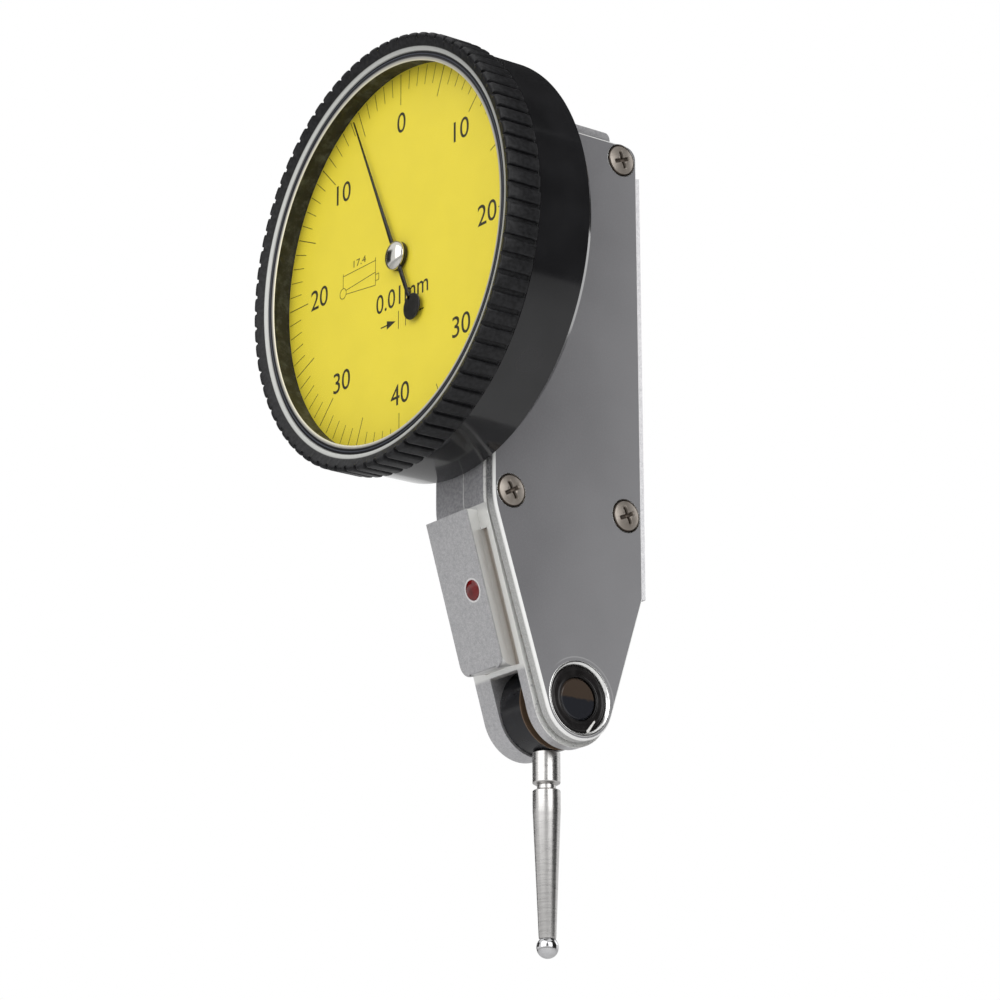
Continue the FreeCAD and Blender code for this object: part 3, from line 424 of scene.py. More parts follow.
def screw_head(name, centre, turn, finish):
    """An oval head as a disc of rings: its height is a shallow dome, less the recess where the
    place lies in one of the two crossed slots. The slots taper to a point below the middle."""
    ring = np.concatenate([np.linspace(0.0, head_round, 44), [head_radius - 0.02, head_radius]])
    angle = np.linspace(0, 2 * math.pi, 240, endpoint=False)
    r, a = ring[:, None], angle[None]
    across, along = r * np.cos(a - turn), r * np.sin(a - turn)
    dome = head_rise * (1 - (r / head_radius) ** 2) - 0.06 * (r > head_round)
    slot = np.zeros_like(across)
    for u, v in ((across, along), (along, across)):
        side = np.clip((slot_half - np.abs(u)) / 0.07, 0, 1)
        end = np.clip((slot_reach - np.abs(v)) / 0.25, 0, 1)
        slot = np.maximum(slot, side * side * (3 - 2 * side) * end)
    pit = np.clip(1 - r / 0.55, 0, 1) * 0.16
    height = dome - slot * slot_depth - pit
    top = np.stack([height, np.broadcast_to(r * np.cos(a), height.shape),
                    np.broadcast_to(r * np.sin(a), height.shape)], -1)
    low = top[-1:].copy()
    low[..., 0] = -head_skirt
    tip = low.copy()
    tip[..., 1:] = 0
    grid = np.concatenate([top, low, tip]) * MM + np.array(centre)
    return skin(name, grid, turns=True, finish=finish, sharp=38)


def turned(name, profile, centre, axis, finish, steps=160, sharp=32, closed=True):
    """A profile of (radius, place along the axis) in millimetres carried round the axis."""
    axis = Vector(axis).normalized()
    first = axis.orthogonal().normalized()
    second = axis.cross(first)
    angle = np.linspace(0, 2 * math.pi, steps, endpoint=False)
    ring = np.cos(angle)[:, None] * np.array(first) + np.sin(angle)[:, None] * np.array(second)
    profile = np.array(profile, float) * MM
    grid = (profile[:, 0, None, None] * ring[None] + profile[:, 1, None, None] * np.array(axis)
            + np.array(centre))
    return skin(name, grid, turns=True, closed=closed, finish=finish, sharp=sharp)


enamel = Finish("red_enamel", specular_IOR_level=0.5)
enamel.tone(enamel_red, 0.35, 0.7, detail=2).worn(0.10, 0.03, 0.4)
dot_centre = (dot_low + dot_high) / 2
dot_face = dot_centre + rail_out * 0.075 * MM
arc = np.linspace(math.pi / 2, 0, 12)
bead_profile = [(0, -0.05)] + [(dot_radius, -0.05)] + [
    (dot_radius * math.sin(a), dot_rise * math.cos(a)) for a in arc]
bead = turned("enamel_bead", bead_profile, dot_face, rail_out, enamel, steps=72, sharp=60,
              closed=False)
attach(bead, "body")
paint(enamel, "colour_dot")

pale_rim = Finish("pale_rim", metallic=0.3).tone((0.66, 0.65, 0.65), 0.08, 0.2)
pale_rim.worn(0.35, 0.05, 0.2).relief(pale_rim.noise(0.1), 0.001)
dot_rim = turned("enamel_rim", [(dot_radius, -0.06), (dot_radius, 0.0), (1.0, 0.018), (1.10, 0.002),
                                (1.10, -0.06)], dot_face, rail_out, pale_rim, steps=72)
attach(dot_rim, "body")


# ---- Heads of the cover screws --------------------------------------------------------------
# Each of the three screws has an oval head with a cross recess, a little below the paint.
head_radius = 1.40
head_round = 1.33          # where the dome meets the rounded rim
head_rise = 0.24
head_skirt = 0.55          # depth of the head below its rim
head_level = 0.10          # rim of the head above the cover's face
slot_half = 0.20
slot_reach = 0.92
slot_depth = 0.34
screw_grey = (0.29, 0.255, 0.222)
recess_shade_brown = (0.075, 0.058, 0.045)
seat_outer = 1.60          # bright countersink round each head
screw_inset = 1.87         # screw centre from the cover's rear and front edges
screw_turns = (20, 25, 30)
screw_places = [(cover_high.y + 0.02 * MM - screw_inset * MM, screw_high.z - 1.5 * MM),
                (cover_high.y + 0.02 * MM - screw_inset * MM, screw_low.z + 1.5 * MM),
                (cover_low.y + screw_inset * MM, screw_low.z + 1.5 * MM)]
bright_edge = Finish("bright_turned_edge", metallic=1.0).tone((0.80, 0.80, 0.79), 0.06, 0.3)
bright_edge.worn(0.26, 0.05, 0.2).relief(bright_edge.noise(0.1), 0.001)

domed = Finish("dull_nickel", metallic=0.55)
# Painted shade: the cross recess and the groove round the rim, everything below the head's rim, are
# painted dark brown.
level = domed.place("X") - (cover_high.x + head_level * MM)
recess = 1 - level.between(-0.03 * MM, 0.02 * MM)
domed.set(base_color=domed.blend(recess, domed.blend(domed.noise(0.5).between(0.3, 0.7), screw_grey, (
    0.33, 0.295, 0.26)), recess_shade_brown))
domed.worn(0.34, 0.05, 0.3).relief(domed.noise(0.12), 0.0008)
for number, ((y, z), turn) in enumerate(zip(screw_places, screw_turns), 1):
    head = screw_head("cover_screw_%d" % number, (cover_high.x + head_level * MM, y, z),
                      math.radians(turn), domed)
    seat = turned("screw_seat_%d" % number, [
        (head_radius + 0.03, -0.30), (head_radius + 0.05, -0.13), (seat_outer - 0.05, 0.012),
        (seat_outer, 0.004), (seat_outer + 0.01, -0.05), (seat_outer + 0.01, -0.30)],
        (cover_high.x, y, z), (1, 0, 0), bright_edge, steps=96, sharp=60)
    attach(seat, "body")
    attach(head, "body")
    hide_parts("cover_screws")


# ---- Dial case ------------------------------------------------------------------------------
# A turned cup, anodised and lacquered deep black, screwed to the body. The bezel turns in it.
dial_low, dial_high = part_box("dial_face")
dial_centre = Vector(((dial_low.x + dial_high.x) / 2, dial_low.y, (dial_low.z + dial_high.z) / 2))
back = Vector((0, 1, 0))
case_low, case_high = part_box("dial_case")
case_radius = (case_high.x - case_low.x) / 2 / MM
case_front = (case_low.y - dial_centre.y) / MM
case_back = (case_high.y - dial_centre.y) / MM
case_chamfer = 0.8
case_bore = 18.75
case_floor = 1.1
bush_hole = 1.6
gloss_black = (0.012, 0.012, 0.013)

lacquer = Finish("black_lacquer", specular_IOR_level=0.45)
lacquer.tone(gloss_black, 0.25, 5, detail=2).worn(0.12, 0.03, 0.8)
lacquer.relief(lacquer.noise(0.9, detail=2), 0.0008)
case_shell = turned("case_shell", [
    (case_bore, case_front), (case_radius - 0.12, case_front), (case_radius, case_front + 0.12),
    (case_radius, case_back - case_chamfer), (case_radius - case_chamfer, case_back),
    (bush_hole, case_back), (bush_hole, case_back - case_floor), (case_bore, case_back - case_floor),
], dial_centre, back, lacquer, steps=360)
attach(case_shell, "body")
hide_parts("dial_case")


# ---- Bezel ring -----------------------------------------------------------------------------
# Aluminium ring, milled with a grip ridge to each dial division and anodised black. Its front
# lip is turned in fine steps and holds the crystal; the light its steps catch is painted on as
# warm and bright rings.
bezel_low, bezel_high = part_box("bezel_ring")
bezel_radius = (bezel_high.x - bezel_low.x) / 2 / MM
bezel_front = (bezel_low.y - dial_centre.y) / MM
bezel_back = 0.8
ridge_count = 80
ridge_groove = 0.40        # width of the groove between two ridges
groove_depth = 0.36
ridge_round = 0.20         # rounding of a ridge's long edges
bore_radius = 17.9
recess_radius = 18.1
spigot_radius = 18.7
spigot_back = bezel_back + 2.2
lip_edge = 17.55
# Painted highlights: the warm inner edge and the bright rings are light painted on the black lip.
lip_highlight_tones = [              # along the lip from 17.5 to 19.4 mm: warm inner edge, dark step, bright ring
    (0.0, (0.72, 0.68, 0.50)), (0.07, (0.66, 0.63, 0.52)), (0.17, (0.36, 0.35, 0.33)),
    (0.21, (0.018, 0.018, 0.02)), (0.30, (0.018, 0.018, 0.02)), (0.33, (0.10, 0.11, 0.14)),
    (0.36, (0.018, 0.018, 0.02)), (0.45, (0.018, 0.018, 0.02)), (0.49, (0.58, 0.585, 0.56)),
    (0.66, (0.44, 0.445, 0.43)), (0.70, (0.012, 0.012, 0.012)), (1.0, (0.010, 0.010, 0.010))]


def ridge_phases():
    """Angles round the ring, close together at the walls of each groove, and how deep each is."""
    pitch = 2 * math.pi * bezel_radius / ridge_count
    wall = ridge_groove / 2 / pitch
    lip = ridge_round / pitch
    spots = [-wall + 0.02, 0.0, wall - 0.02, wall, wall + lip * 0.35, wall + lip, 0.35, 0.5,
             0.65, 1 - wall - lip, 1 - wall - lip * 0.35, 1 - wall]
    depth = [1.0, 1.0, 1.0, 0.28, 0.08, 0.0, -0.02, -0.03, -0.02, 0.0, 0.08, 0.28]
    first = np.arange(ridge_count)[:, None]
    return (((first + np.array(spots)) * 2 * math.pi / ridge_count).ravel(),
            np.tile(np.array(depth), ridge_count))


def ridged_ring(name, profile, finish):
    """Rows follow the profile (radius, place, cut): at cut 1 the radius drops by the full depth
    of the groove between ridges, at cut 0 the ring is round."""
    angle, depth = ridge_phases()
    profile = np.array(profile, float)
    radius = (profile[:, 0, None] - groove_depth * profile[:, 2, None] * depth[None]) * MM
    along = np.broadcast_to(profile[:, 1, None] * MM, radius.shape)
    grid = np.stack([radius * np.sin(angle)[None] + dial_centre.x, along + dial_centre.y,
                     radius * np.cos(angle)[None] + dial_centre.z], -1)
    return skin(name, grid, turns=True, closed=True, finish=finish, sharp=40)


ring_black, ring_worn = (0.005, 0.005, 0.0055), (0.015, 0.015, 0.0165)
wall_dark, wall_light = (0.022, 0.022, 0.018), (0.070, 0.072, 0.066)

ring = Finish("black_anodised_ring", specular_IOR_level=0.2)
x, y, z = ring.place("X"), ring.place("Y"), ring.place("Z")
across, rise = x - dial_centre.x, z - dial_centre.z
reach = (across * across + rise * rise).math("SQRT") / MM
front = 1 - (y - dial_centre.y).between(-1.925 * MM, -1.90 * MM)
painted_lip_highlights = ring.node("ValToRGB", {"stops": lip_highlight_tones}, {0: (reach - 17.5) / 1.9})
turning = ring.noise(0.05, detail=2)
lip_share = front * (1 - reach.between(18.86, 18.9))
inner = (1 - reach.between(17.95, 18.0)) * (1 - front)
plain = ring.blend(ring.noise(0.35, detail=3).between(0.3, 0.7), ring_black, ring_worn)
sheen = ring.blend(ring.noise(1.1, detail=4, rough=0.7).between(0.42, 0.75), wall_dark, wall_light)
walled = ring.blend(inner, plain, sheen)
ring.set(base_color=ring.blend(lip_share, walled, painted_lip_highlights),
         metallic=lip_share * 0.35,
         roughness=ring.noise(0.3) * 0.14 + 0.36 - lip_share * 0.12)
ring.relief(ring.noise(0.18, detail=3) + turning * 0.3, 0.004)
bezel = ridged_ring("bezel_grip", [
    (lip_edge, -1.90, 0), (lip_edge, -1.93, 0), (17.60, -1.96, 0), (17.86, -2.02, 0),
    (17.90, -2.00, 0), (18.06, -2.00, 0), (18.10, -2.04, 0), (18.16, -2.04, 0),
    (18.20, -2.00, 0), (18.38, -2.00, 0), (18.44, -2.12, 0), (18.78, -2.20, 0), (18.84, -2.24, 0),
    (18.92, -2.30, 0), (19.50, -2.54, 0.15), (19.66, bezel_front, 0.5), (19.80, bezel_front, 0.9),
    (19.92, -2.54, 1), (bezel_radius, -2.40, 1), (bezel_radius, -0.8, 1), (bezel_radius, 0.50, 1),
    (bezel_radius - 0.02, 0.58, 1), (bezel_radius - 0.10, 0.62, 0.62), (19.66, 0.63, 0),
    (19.64, 0.76, 0), (19.58, bezel_back, 0), (spigot_radius - 0.3, bezel_back, 0),
    (spigot_radius, spigot_back, 0), (recess_radius, spigot_back, 0), (recess_radius, 0, 0),
    (bore_radius, 0, 0), (bore_radius, -1.90, 0),
], ring)
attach(bezel, "bezel")
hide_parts("bezel_ring")


# ---- Dial -----------------------------------------------------------------------------------
# A thin brass disc lacquered warm yellow, printed in black: eighty divisions, the numbers, the
# reading, and a small sketch of the stylus with the length that the reading holds for.
dial_yellow = (0.860, 0.700, 0.050)
ink_black = (0.020, 0.018, 0.006)
ink_olive = (0.105, 0.088, 0.014)      # where a line is so thin that the yellow shows through
ink_thin = 0.012           # height of the print
ink_sink = 0.004           # the print starts this far inside the lacquer
tick_outer = 17.75
tick_short = 15.95
tick_long = 14.75
tick_wide = 0.065
tick_wide_long = 0.085
divisions = 80
number_height = 1.95
number_radius = 13.0
number_marks = [("0", 0), ("10", 10), ("20", 20), ("30", 30), ("40", 40),
                ("10", -10), ("20", -20), ("30", -30)]

lacquer_yellow = Finish("yellow_lacquer", coat_weight=0.25, coat_roughness=0.15)
lacquer_yellow.tone(dial_yellow, 0.018, 3, detail=2).worn(0.42, 0.04, 0.6)
lacquer_yellow.relief(lacquer_yellow.noise(0.25, detail=2), 0.0012)
paint(lacquer_yellow, "dial_face")

ink = Finish("black_ink").tone(ink_black, 0.30, 0.25, detail=3).worn(0.5, 0.08, 0.2)
ink.relief(ink.noise(0.08), 0.0008)
thin_ink = Finish("thin_ink").tone(ink_olive, 0.25, 0.3, detail=3).worn(0.5, 0.08, 0.2)
thin_ink.relief(thin_ink.noise(0.08), 0.0006)


class Print:
    """Collects thin flat shapes, drawn in millimetres right and up from the dial's centre."""

    def __init__(self):
        self.points, self.faces, self.count = [], [], 0

    def slab(self, corners):
        """A convex polygon raised to the height of the print."""
        flat = np.array(corners, float)
        n = len(flat)
        front = np.column_stack([flat, np.full(n, ink_thin)])
        rear = np.column_stack([flat, np.full(n, -ink_sink)])
        self.points.append(np.vstack([front, rear]))
        start = self.count
        self.faces.append(list(range(start, start + n)))
        self.faces.append(list(range(start + 2 * n - 1, start + n - 1, -1)))
        self.faces += [[start + i, start + n + i, start + n + (i + 1) % n, start + (i + 1) % n]
                       for i in range(n)]
        self.count += 2 * n

    def line(self, start, end, wide):
        """A straight stroke."""
        (x0, z0), (x1, z1) = start, end
        length = math.hypot(x1 - x0, z1 - z0)
        ax, az = (z0 - z1) / length * wide / 2, (x1 - x0) / length * wide / 2
        self.slab([(x0 + ax, z0 + az), (x0 - ax, z0 - az), (x1 - ax, z1 - az), (x1 + ax, z1 + az)])

    def ray(self, angle, inner, outer, wide):
        """A stroke along a radius; the angle runs clockwise from the top, in degrees."""
        s, c = math.sin(math.radians(angle)), math.cos(math.radians(angle))
        self.line((inner * s, inner * c), (outer * s, outer * c), wide)

    def circle(self, centre, radius, wide, steps=20):
        """A thin ring of short strokes."""
        turn = np.linspace(0, 2 * math.pi, steps + 1)
        spots = [(centre[0] + radius * math.cos(t), centre[1] + radius * math.sin(t)) for t in turn]
        for a, b in zip(spots[:-1], spots[1:]):
            self.line(a, b, wide)

    def words(self, text, centre, height, wide):
        """Letters centred on a point; height is that of a capital."""
        curve = bpy.data.curves.new("letters", "FONT")
        curve.body = text
        curve.resolution_u = 6
        curve.extrude = 0.1
        maker = bpy.data.objects.new("letters", curve)
        bpy.context.scene.collection.objects.link(maker)
        flat = bpy.data.meshes.new_from_object(maker.evaluated_get(bpy.context.evaluated_depsgraph_get()))
        spots = np.empty(len(flat.vertices) * 3)
        flat.vertices.foreach_get("co", spots)
        spots = spots.reshape(-1, 3)
        level = np.where(spots[:, 2] > 0, ink_thin, -ink_sink)
        spots = spots[:, :2]
        middle = (spots.min(0) + spots.max(0)) / 2
        scale = height / letter_height
        spots = (spots - middle) * (scale * wide, scale) + centre
        front = np.column_stack([spots, level])
        self.points.append(front)
        self.faces += [[self.count + v for v in face.vertices] for face in flat.polygons]
        self.count += len(front)
        bpy.data.objects.remove(maker)
        bpy.data.meshes.remove(flat)
        bpy.data.curves.remove(curve)

    def piece(self, name, finish):
        """The finished print, on the dial and turning with the bezel."""
        spots = np.vstack(self.points) * MM
        place = np.column_stack([spots[:, 0] + dial_centre.x, dial_centre.y - spots[:, 2],
                                 spots[:, 1] + dial_centre.z])
        made = bpy.data.meshes.new(name)
        made.from_pydata(place, [], self.faces)
        piece = finished(name, made, finish, sharp=30)
        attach(piece, "bezel")
        return piece


letter_height = 0.70       # of a capital in the font, where the line height is 1
fine_print, scale_print = Print(), Print()
for i in range(divisions):
    long = i % 5 == 0
    fine_print.ray(i * 360 / divisions, tick_long if long else tick_short, tick_outer,
                   tick_wide_long if long else tick_wide)
for text, mark in number_marks:
    turn = math.radians(mark * 360 / divisions)
    scale_print.words(text, (number_radius * math.sin(turn) + 0.12, number_radius * math.cos(turn)),
                      number_height, wide=1.05)
scale_print.words("0.01mm", (0.36, -3.6), 1.80, wide=0.98)
sign_x, sign_z = 0.38, -5.95
for way in (-1, 1):        # two lines a division apart, and an arrow to each from outside
    fine_print.line((sign_x + way * 0.55, sign_z - 0.85), (sign_x + way * 0.55, sign_z + 0.85), 0.09)
    scale_print.line((sign_x + way * 3.3, sign_z), (sign_x + way * 2.0, sign_z), 0.12)
    scale_print.slab([(sign_x + way * 1.0, sign_z), (sign_x + way * 2.35, sign_z + 0.40),
                      (sign_x + way * 2.35, sign_z - 0.40)][::-way])
# The sketch of the stylus lies to the left of the pointer's axis, with its length above it.
ball_x, seat_x, middle_z = -9.0, -3.82, -0.78
fine_print.circle((ball_x, middle_z), 0.5, 0.07)
for start, end in (
        ((ball_x + 0.45, middle_z + 0.20), (seat_x, middle_z + 0.52)),
        ((ball_x + 0.45, middle_z - 0.18), (seat_x, middle_z - 0.75)),
        ((seat_x, middle_z + 1.95), (seat_x, middle_z - 0.75)),
        ((seat_x, middle_z + 0.28), (seat_x + 0.52, middle_z + 0.28)),
        ((seat_x, middle_z - 0.32), (seat_x + 0.52, middle_z - 0.32)),
        ((seat_x + 0.52, middle_z + 0.28), (seat_x + 0.52, middle_z - 0.32)),
        ((ball_x, middle_z + 0.5), (ball_x, middle_z + 1.90)),
        ((ball_x, middle_z + 1.66), (seat_x, middle_z + 1.66))):
    fine_print.line(start, end, 0.065)
fine_print.words("17.4", (-6.36, 1.57), 0.66, wide=1.40)
scale_print.piece("dial_print", ink)
fine_print.piece("dial_fine_print", thin_ink)


# ---- Crystal --------------------------------------------------------------------------------
# A flat disc of clear acrylic behind the bezel's lip. It mirrors the room faintly, more at a
# low angle, and carries the finest smears.
mirror_share = 0.16        # coated against glare
glass = Finish("clear_crystal")
smear = glass.noise(6, detail=2) * 0.03 + 0.01
clear = glass.node("BsdfTransparent", None, {"Color": (0.985, 0.988, 0.985)})
mirror = glass.node("BsdfGlossy", None, {"Color": (1, 1, 1), "Roughness": smear})
fresnel = glass.node("Fresnel", None, {"IOR": 1.49})
inside = glass.node("NewGeometry", output="Backfacing")
mixed = glass.node("MixShader", None, {0: fresnel * (1 - inside) * mirror_share, 1: clear, 2: mirror})
glass.tree.links.new(mixed.socket, glass.out.inputs[0])
paint(glass, "crystal")


# ---- Pointer --------------------------------------------------------------------------------
# A stamped steel needle, blackened, with a round counterweight. A small polished dome caps the
# arbor in front of it.
needle_black = (0.014, 0.013, 0.012)
chrome = (0.62, 0.60, 0.57)
hub_low, hub_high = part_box("pointer_hub")
hub_radius = (hub_high.x - hub_low.x) / 2 / MM
hub_reach = (dial_centre.y - hub_low.y) / MM      # of its top in front of the dial

black_steel = Finish("blackened_steel", metallic=0.2).tone(needle_black, 0.35, 0.6, detail=2)
black_steel.worn(0.34, 0.08, 0.3).relief(black_steel.noise(0.1), 0.002)
needle_angle = math.radians(-24.2)     # clockwise from the top, at rest
needle_reach = 16.85
needle_back = 0.40         # rear face in front of the dial
needle_thick = 0.13
needle_stations = [        # place along the needle, half width
    (-5.2, 0.19), (-1.2, 0.24), (0.0, 0.26), (2.0, 0.22), (8.0, 0.13), (14.0, 0.07),
    (16.6, 0.045), (needle_reach, 0.012)]
tail_place = 6.1
tail_radius = 1.22


def along_needle(spots):
    """Turns points (across, forward, along) in millimetres to the needle's place at rest."""
    s, c = math.sin(needle_angle), math.cos(needle_angle)
    across, forward, along = spots[..., 0], spots[..., 1], spots[..., 2]
    return np.stack([across * c + along * s, -forward, along * c - across * s], -1) * MM + np.array(
        dial_centre)


def needle_blade():
    """A bar whose half width follows the stations; its front edges are slightly rounded."""
    place, half = np.array(needle_stations).T
    section = np.array([(-1, 0.0), (-1, 0.75), (-0.7, 1.0), (0.7, 1.0), (1, 0.75), (1, 0.0)])
    across = half[:, None] * section[None, :, 0]
    forward = np.broadcast_to(needle_back + needle_thick * section[None, :, 1], across.shape)
    along = np.broadcast_to(place[:, None], across.shape)
    grid = np.stack([across, forward, along], -1)
    ends = [np.repeat(grid[i:i + 1].mean(1, keepdims=True), grid.shape[1], 1) for i in (0, -1)]
    return skin("needle_blade", along_needle(np.concatenate([ends[0], grid, ends[1]])), turns=True,
                finish=black_steel, sharp=35)


blade = needle_blade()
axis_spot = along_needle(np.array([0.0, 0.0, 0.0]))
tail_spot = along_needle(np.array([0.0, 0.0, -tail_place]))
front, rear = -(needle_back + needle_thick), -needle_back
tail = turned("needle_tail", [(0, rear), (tail_radius, rear), (tail_radius, front + 0.03),
                              (tail_radius - 0.04, front), (0, front)],
              tail_spot, back, black_steel, steps=72, closed=False)
boss = turned("needle_boss", [(0, rear + 0.25), (1.35, rear + 0.25), (1.35, front + 0.03),
                              (1.31, front - 0.005), (0, front - 0.005)],
              axis_spot, back, black_steel, steps=72, closed=False)
for part in (blade, tail, boss):
    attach(part, "pointer")
    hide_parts("pointer")

polish = Finish("polished_chrome", metallic=1.0).tone(chrome, 0.05, 0.8, detail=2)
polish.worn(0.16, 0.04, 0.3).relief(polish.noise(0.15), 0.0006)
arc = np.linspace(math.pi / 2, 0, 20)
hub_foot = front - 0.005
hub_rise = -hub_foot - hub_reach
hub = turned("hub_dome", [(0, hub_foot), (hub_radius - 0.05, hub_foot)] + [
    (hub_radius * math.sin(a), hub_foot + hub_rise * math.cos(a)) for a in arc],
    dial_centre, back, polish, steps=96, sharp=50, closed=False)
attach(hub, "pointer")
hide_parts("pointer_hub")


# ---- Stylus ---------------------------------------------------------------------------------
# Hardened steel, ground to a slim taper and polished, with a V groove for the wrench and a hard
# metal ball brazed into its cupped end. It screws into the drum.
shank_low, shank_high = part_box("stylus_shank")
ball_low, ball_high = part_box("contact_ball")
ball_centre = (ball_low + ball_high) / 2
ball_radius = (ball_high.z - ball_low.z) / 2 / MM
seat_drop = 17.4           # stylus seat above the centre of the ball
steel_dark = (0.47, 0.462, 0.455)
steel_light = (0.55, 0.54, 0.53)
carbide_grey = (0.55, 0.55, 0.56)

steel = Finish("polished_steel", metallic=1.0)
rings = steel.noise(0.12, detail=3, stretch=(12, 12, 1))
steel.set(base_color=steel.blend(rings.between(0.3, 0.7), steel_dark, steel_light),
          roughness=rings * 0.06 + 0.25)
steel.relief(rings, 0.0004)
shank = turned("stylus_shank_turned", [
    (0, seat_drop + 1.4), (0.66, seat_drop + 1.4), (0.7, seat_drop + 1.3), (0.7, seat_drop),
    (1.18, seat_drop), (1.25, seat_drop - 0.07), (1.25, 14.66), (1.21, 14.6), (0.85, 14.4),
    (0.85, 14.1), (1.21, 13.94), (1.25, 13.88), (1.25, 11.94), (1.235, 11.86), (0.78, 0.85),
    (0.74, 0.74), (0.4, 0.72), (0, 0.72),
], ball_centre, Vector((0, 0, 1)), steel, steps=96, sharp=24, closed=False)
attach(shank, "stylus")
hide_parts("stylus_shank")

carbide = Finish("hard_metal", metallic=1.0).tone(carbide_grey, 0.06, 0.3, detail=2)
carbide.worn(0.13, 0.04, 0.2).relief(carbide.noise(0.08), 0.0006)
arc = np.linspace(0, math.pi, 41)
ball = turned("ball_tip", [(ball_radius * math.sin(a), ball_radius * math.cos(a)) for a in arc],
              ball_centre, Vector((0, 0, 1)), carbide, steps=64, sharp=80, closed=False)
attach(ball, "stylus")
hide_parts("contact_ball")


# ---- Pivot, drum and bushings ---------------------------------------------------------------
# Oil-blackened steel: the drum that carries the stylus, the slit flange in the cover's hole and
# the polished end of the lever's shaft inside it.
oil_black = (0.013, 0.012, 0.012)
warm_highlight_brown = (0.050, 0.036, 0.027)
cap_dark = (0.017, 0.018, 0.022)
bronze = (0.105, 0.070, 0.045)
drum_low, drum_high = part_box("stylus_drum")
rim_inner, rim_outer = 3.03, 3.40

dark_steel = Finish("oil_black_steel", specular_IOR_level=0.22)
dark_steel.tone(oil_black, 0.4, 1.2, detail=3).worn(0.20, 0.06, 0.4)
dark_steel.relief(dark_steel.noise(0.2, detail=3), 0.001)
paint(dark_steel, "pivot_bushing_left", "pivot_bushing_right")

drum = Finish("black_drum", specular_IOR_level=0.20)
turned_end = drum.place("X").between(drum_high.x - 0.16 * MM, drum_high.x - 0.10 * MM)
drum.set(base_color=drum.blend(turned_end, drum.blend(drum.noise(0.9, detail=3), oil_black, cap_dark),
                               bronze))
drum.worn(0.24, 0.06, 0.4).relief(drum.noise(0.2, detail=3), 0.001)
paint(drum, "stylus_drum")

cap = Finish("polished_shaft", specular_IOR_level=0.5)
# Painted highlight: the upper part of the shaft's polished end is painted warm brown, the rest dark.
warm_highlight_share = (cap.place("Z") - pivot.z + cap.noise(0.5, detail=3) * 0.5 * MM).between(0.15 * MM, 0.45 * MM)
cap.set(base_color=cap.blend(warm_highlight_share, cap_dark, warm_highlight_brown))
cap.worn(0.12, 0.04, 0.4).relief(cap.noise(0.8, detail=3), 0.003)
paint(cap, "pivot_shaft")

bronze_skin = Finish("bronze", metallic=0.5).tone(bronze, 0.35, 0.5, detail=3)
bronze_skin.worn(0.38, 0.08, 0.3).relief(bronze_skin.noise(0.2), 0.001)
turn = np.linspace(math.radians(-20), math.radians(100), 60)     # from the front, turning down
shim_x = np.array([1.40, 1.40, 1.92, 1.92])
shim_r = np.array([3.30, 3.72, 3.72, 3.30])
shim_grid = np.stack([np.broadcast_to(shim_x[None], (60, 4)),
                      pivot.y / MM - shim_r[None] * np.cos(turn)[:, None],
                      pivot.z / MM - shim_r[None] * np.sin(turn)[:, None]], -1) * MM
shim_ends = [np.repeat(row[None].mean(1, keepdims=True), 4, 1) for row in (shim_grid[0], shim_grid[-1])]
shim = skin("bronze_shim", np.concatenate([shim_ends[0], shim_grid, shim_ends[1]]), turns=True,
            finish=bronze_skin, sharp=35)
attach(shim, "body")

hole_rim = turned("hole_rim", [
    (rim_inner, -0.34), (rim_inner + 0.01, -0.24), (rim_inner + 0.10, -0.09), (hole_radius, 0.006),
    (rim_outer - 0.05, 0.024), (rim_outer, 0.010), (rim_outer + 0.03, -0.02), (rim_outer + 0.03, -0.34),
], pivot, (1, 0, 0), bright_edge, steps=160, sharp=60)
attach(hole_rim, "body")
flange = turned("flange_steps", [
    (1.98, -0.05), (1.98, 0.05), (2.02, 0.07), (2.12, 0.07), (2.18, 0.03), (2.66, 0.03),
    (2.74, 0.08), (2.82, 0.08), (2.88, 0.03), (2.96, 0.03), (2.98, 0.0), (2.98, -0.05),
], (pivot_high.x, pivot.y, pivot.z), (1, 0, 0), dark_steel, steps=120, sharp=40)
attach(flange, "body")

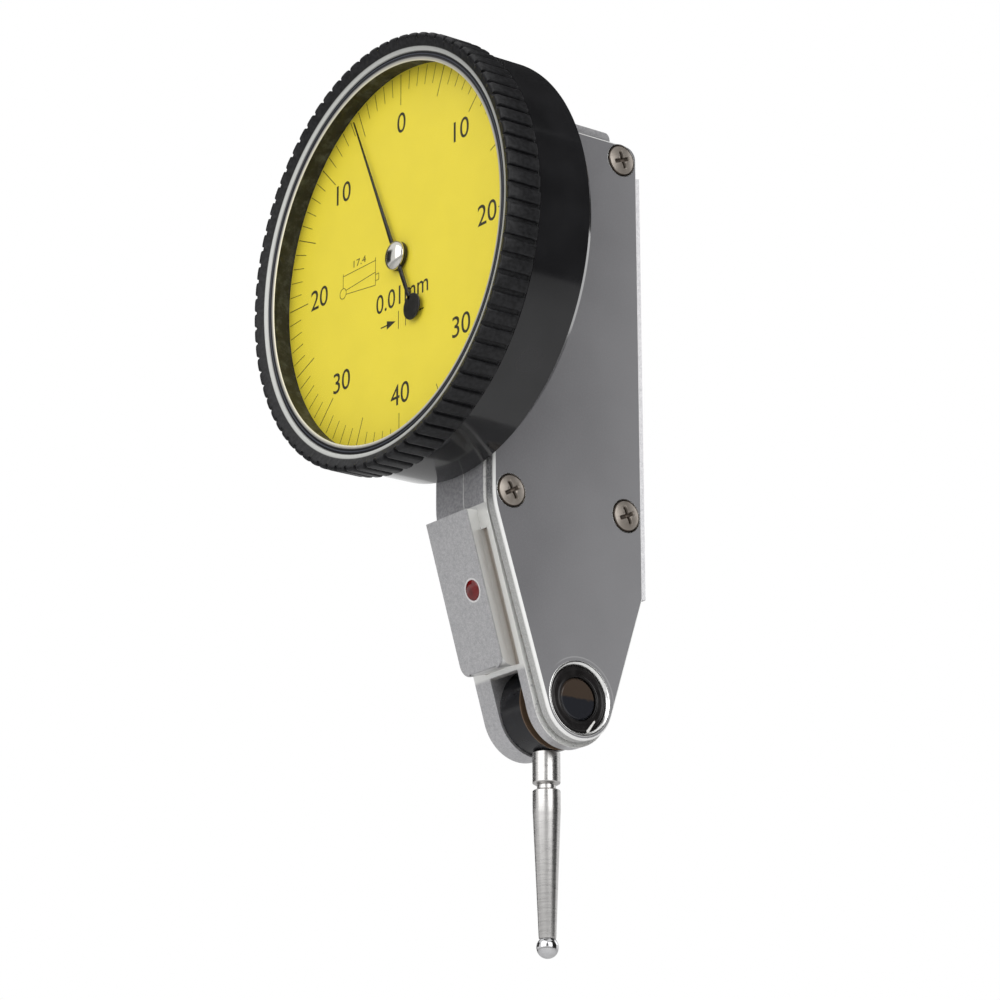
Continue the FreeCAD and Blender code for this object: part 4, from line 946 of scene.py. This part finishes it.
white_steel = Finish("bright_cut", metallic=0.2).tone((0.84, 0.83, 0.80), 0.06, 0.3)
white_steel.worn(0.35, 0.05, 0.2).relief(white_steel.noise(0.1), 0.001)
cut_top, cut_end = Vector((0, 1.78, -1.77)), Vector((0, 0.94, -2.86))
cut_side = (cut_end - cut_top).cross(Vector((1, 0, 0))).normalized()
cut_x = pivot_high.x + 0.085 * MM
mesh = bpy.data.meshes.new("slit_key")
corners = [Vector((cut_x - depth * MM, pivot.y, pivot.z)) + (spot + cut_side * side * half) * MM
           for depth in (0.15, 0) for spot, half, side in (
               (cut_top, 0.07, -1), (cut_end, 0.13, -1), (cut_end, 0.13, 1), (cut_top, 0.07, 1))]
mesh.from_pydata(corners, [], [(0, 3, 2, 1), (4, 5, 6, 7), (0, 1, 5, 4), (1, 2, 6, 5), (2, 3, 7, 6),
                               (3, 0, 4, 7)])
slit_key = finished("slit_key", mesh, white_steel, sharp=30)
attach(slit_key, "body")


# ---- Movement -------------------------------------------------------------------------------
# Inside the case and body: brass wheels and plates, steel arbors, ruby bearings and a blued
# hairspring. A brass lever joins the stylus to the toothed sector.
brass_tone = (0.62, 0.42, 0.16)
spring_blue = (0.10, 0.12, 0.20)
ruby = (0.42, 0.01, 0.04)
arbor_steel = (0.50, 0.49, 0.47)

brass = Finish("drawn_brass", metallic=1.0).tone(brass_tone, 0.10, 0.8, detail=3)
brass.worn(0.30, 0.07, 0.3).relief(brass.noise(0.1, stretch=(6, 1, 1)), 0.003)
paint(brass, "centre_bush", "movement_bridge", "bridge_pillars", "hairspring_stud",
      "crown_gear", "hairspring_collet", "sector_gear", "lever_arm")

arbors = Finish("turned_arbor_steel", metallic=1.0).tone(arbor_steel, 0.10, 0.3, detail=3)
arbors.worn(0.26, 0.06, 0.2).relief(arbors.noise(0.06), 0.002)
paint(arbors, "centre_arbor", "crown_arbor", "sector_arbor", "lever_pin")

springs = Finish("spring_steel", metallic=1.0).tone(spring_blue, 0.25, 0.5, detail=2)
springs.worn(0.28, 0.06, 0.2).relief(springs.noise(0.06), 0.001)
paint(springs, "retaining_wire", "hairspring", "dial_snap_ring", "friction_washer")

rubies = Finish("ruby", coat_weight=0.6, coat_roughness=0.05).tone(ruby, 0.2, 0.2, detail=2)
rubies.worn(0.12, 0.04, 0.1).relief(rubies.noise(0.05), 0.0005)
paint(rubies, "arbor_jewels")
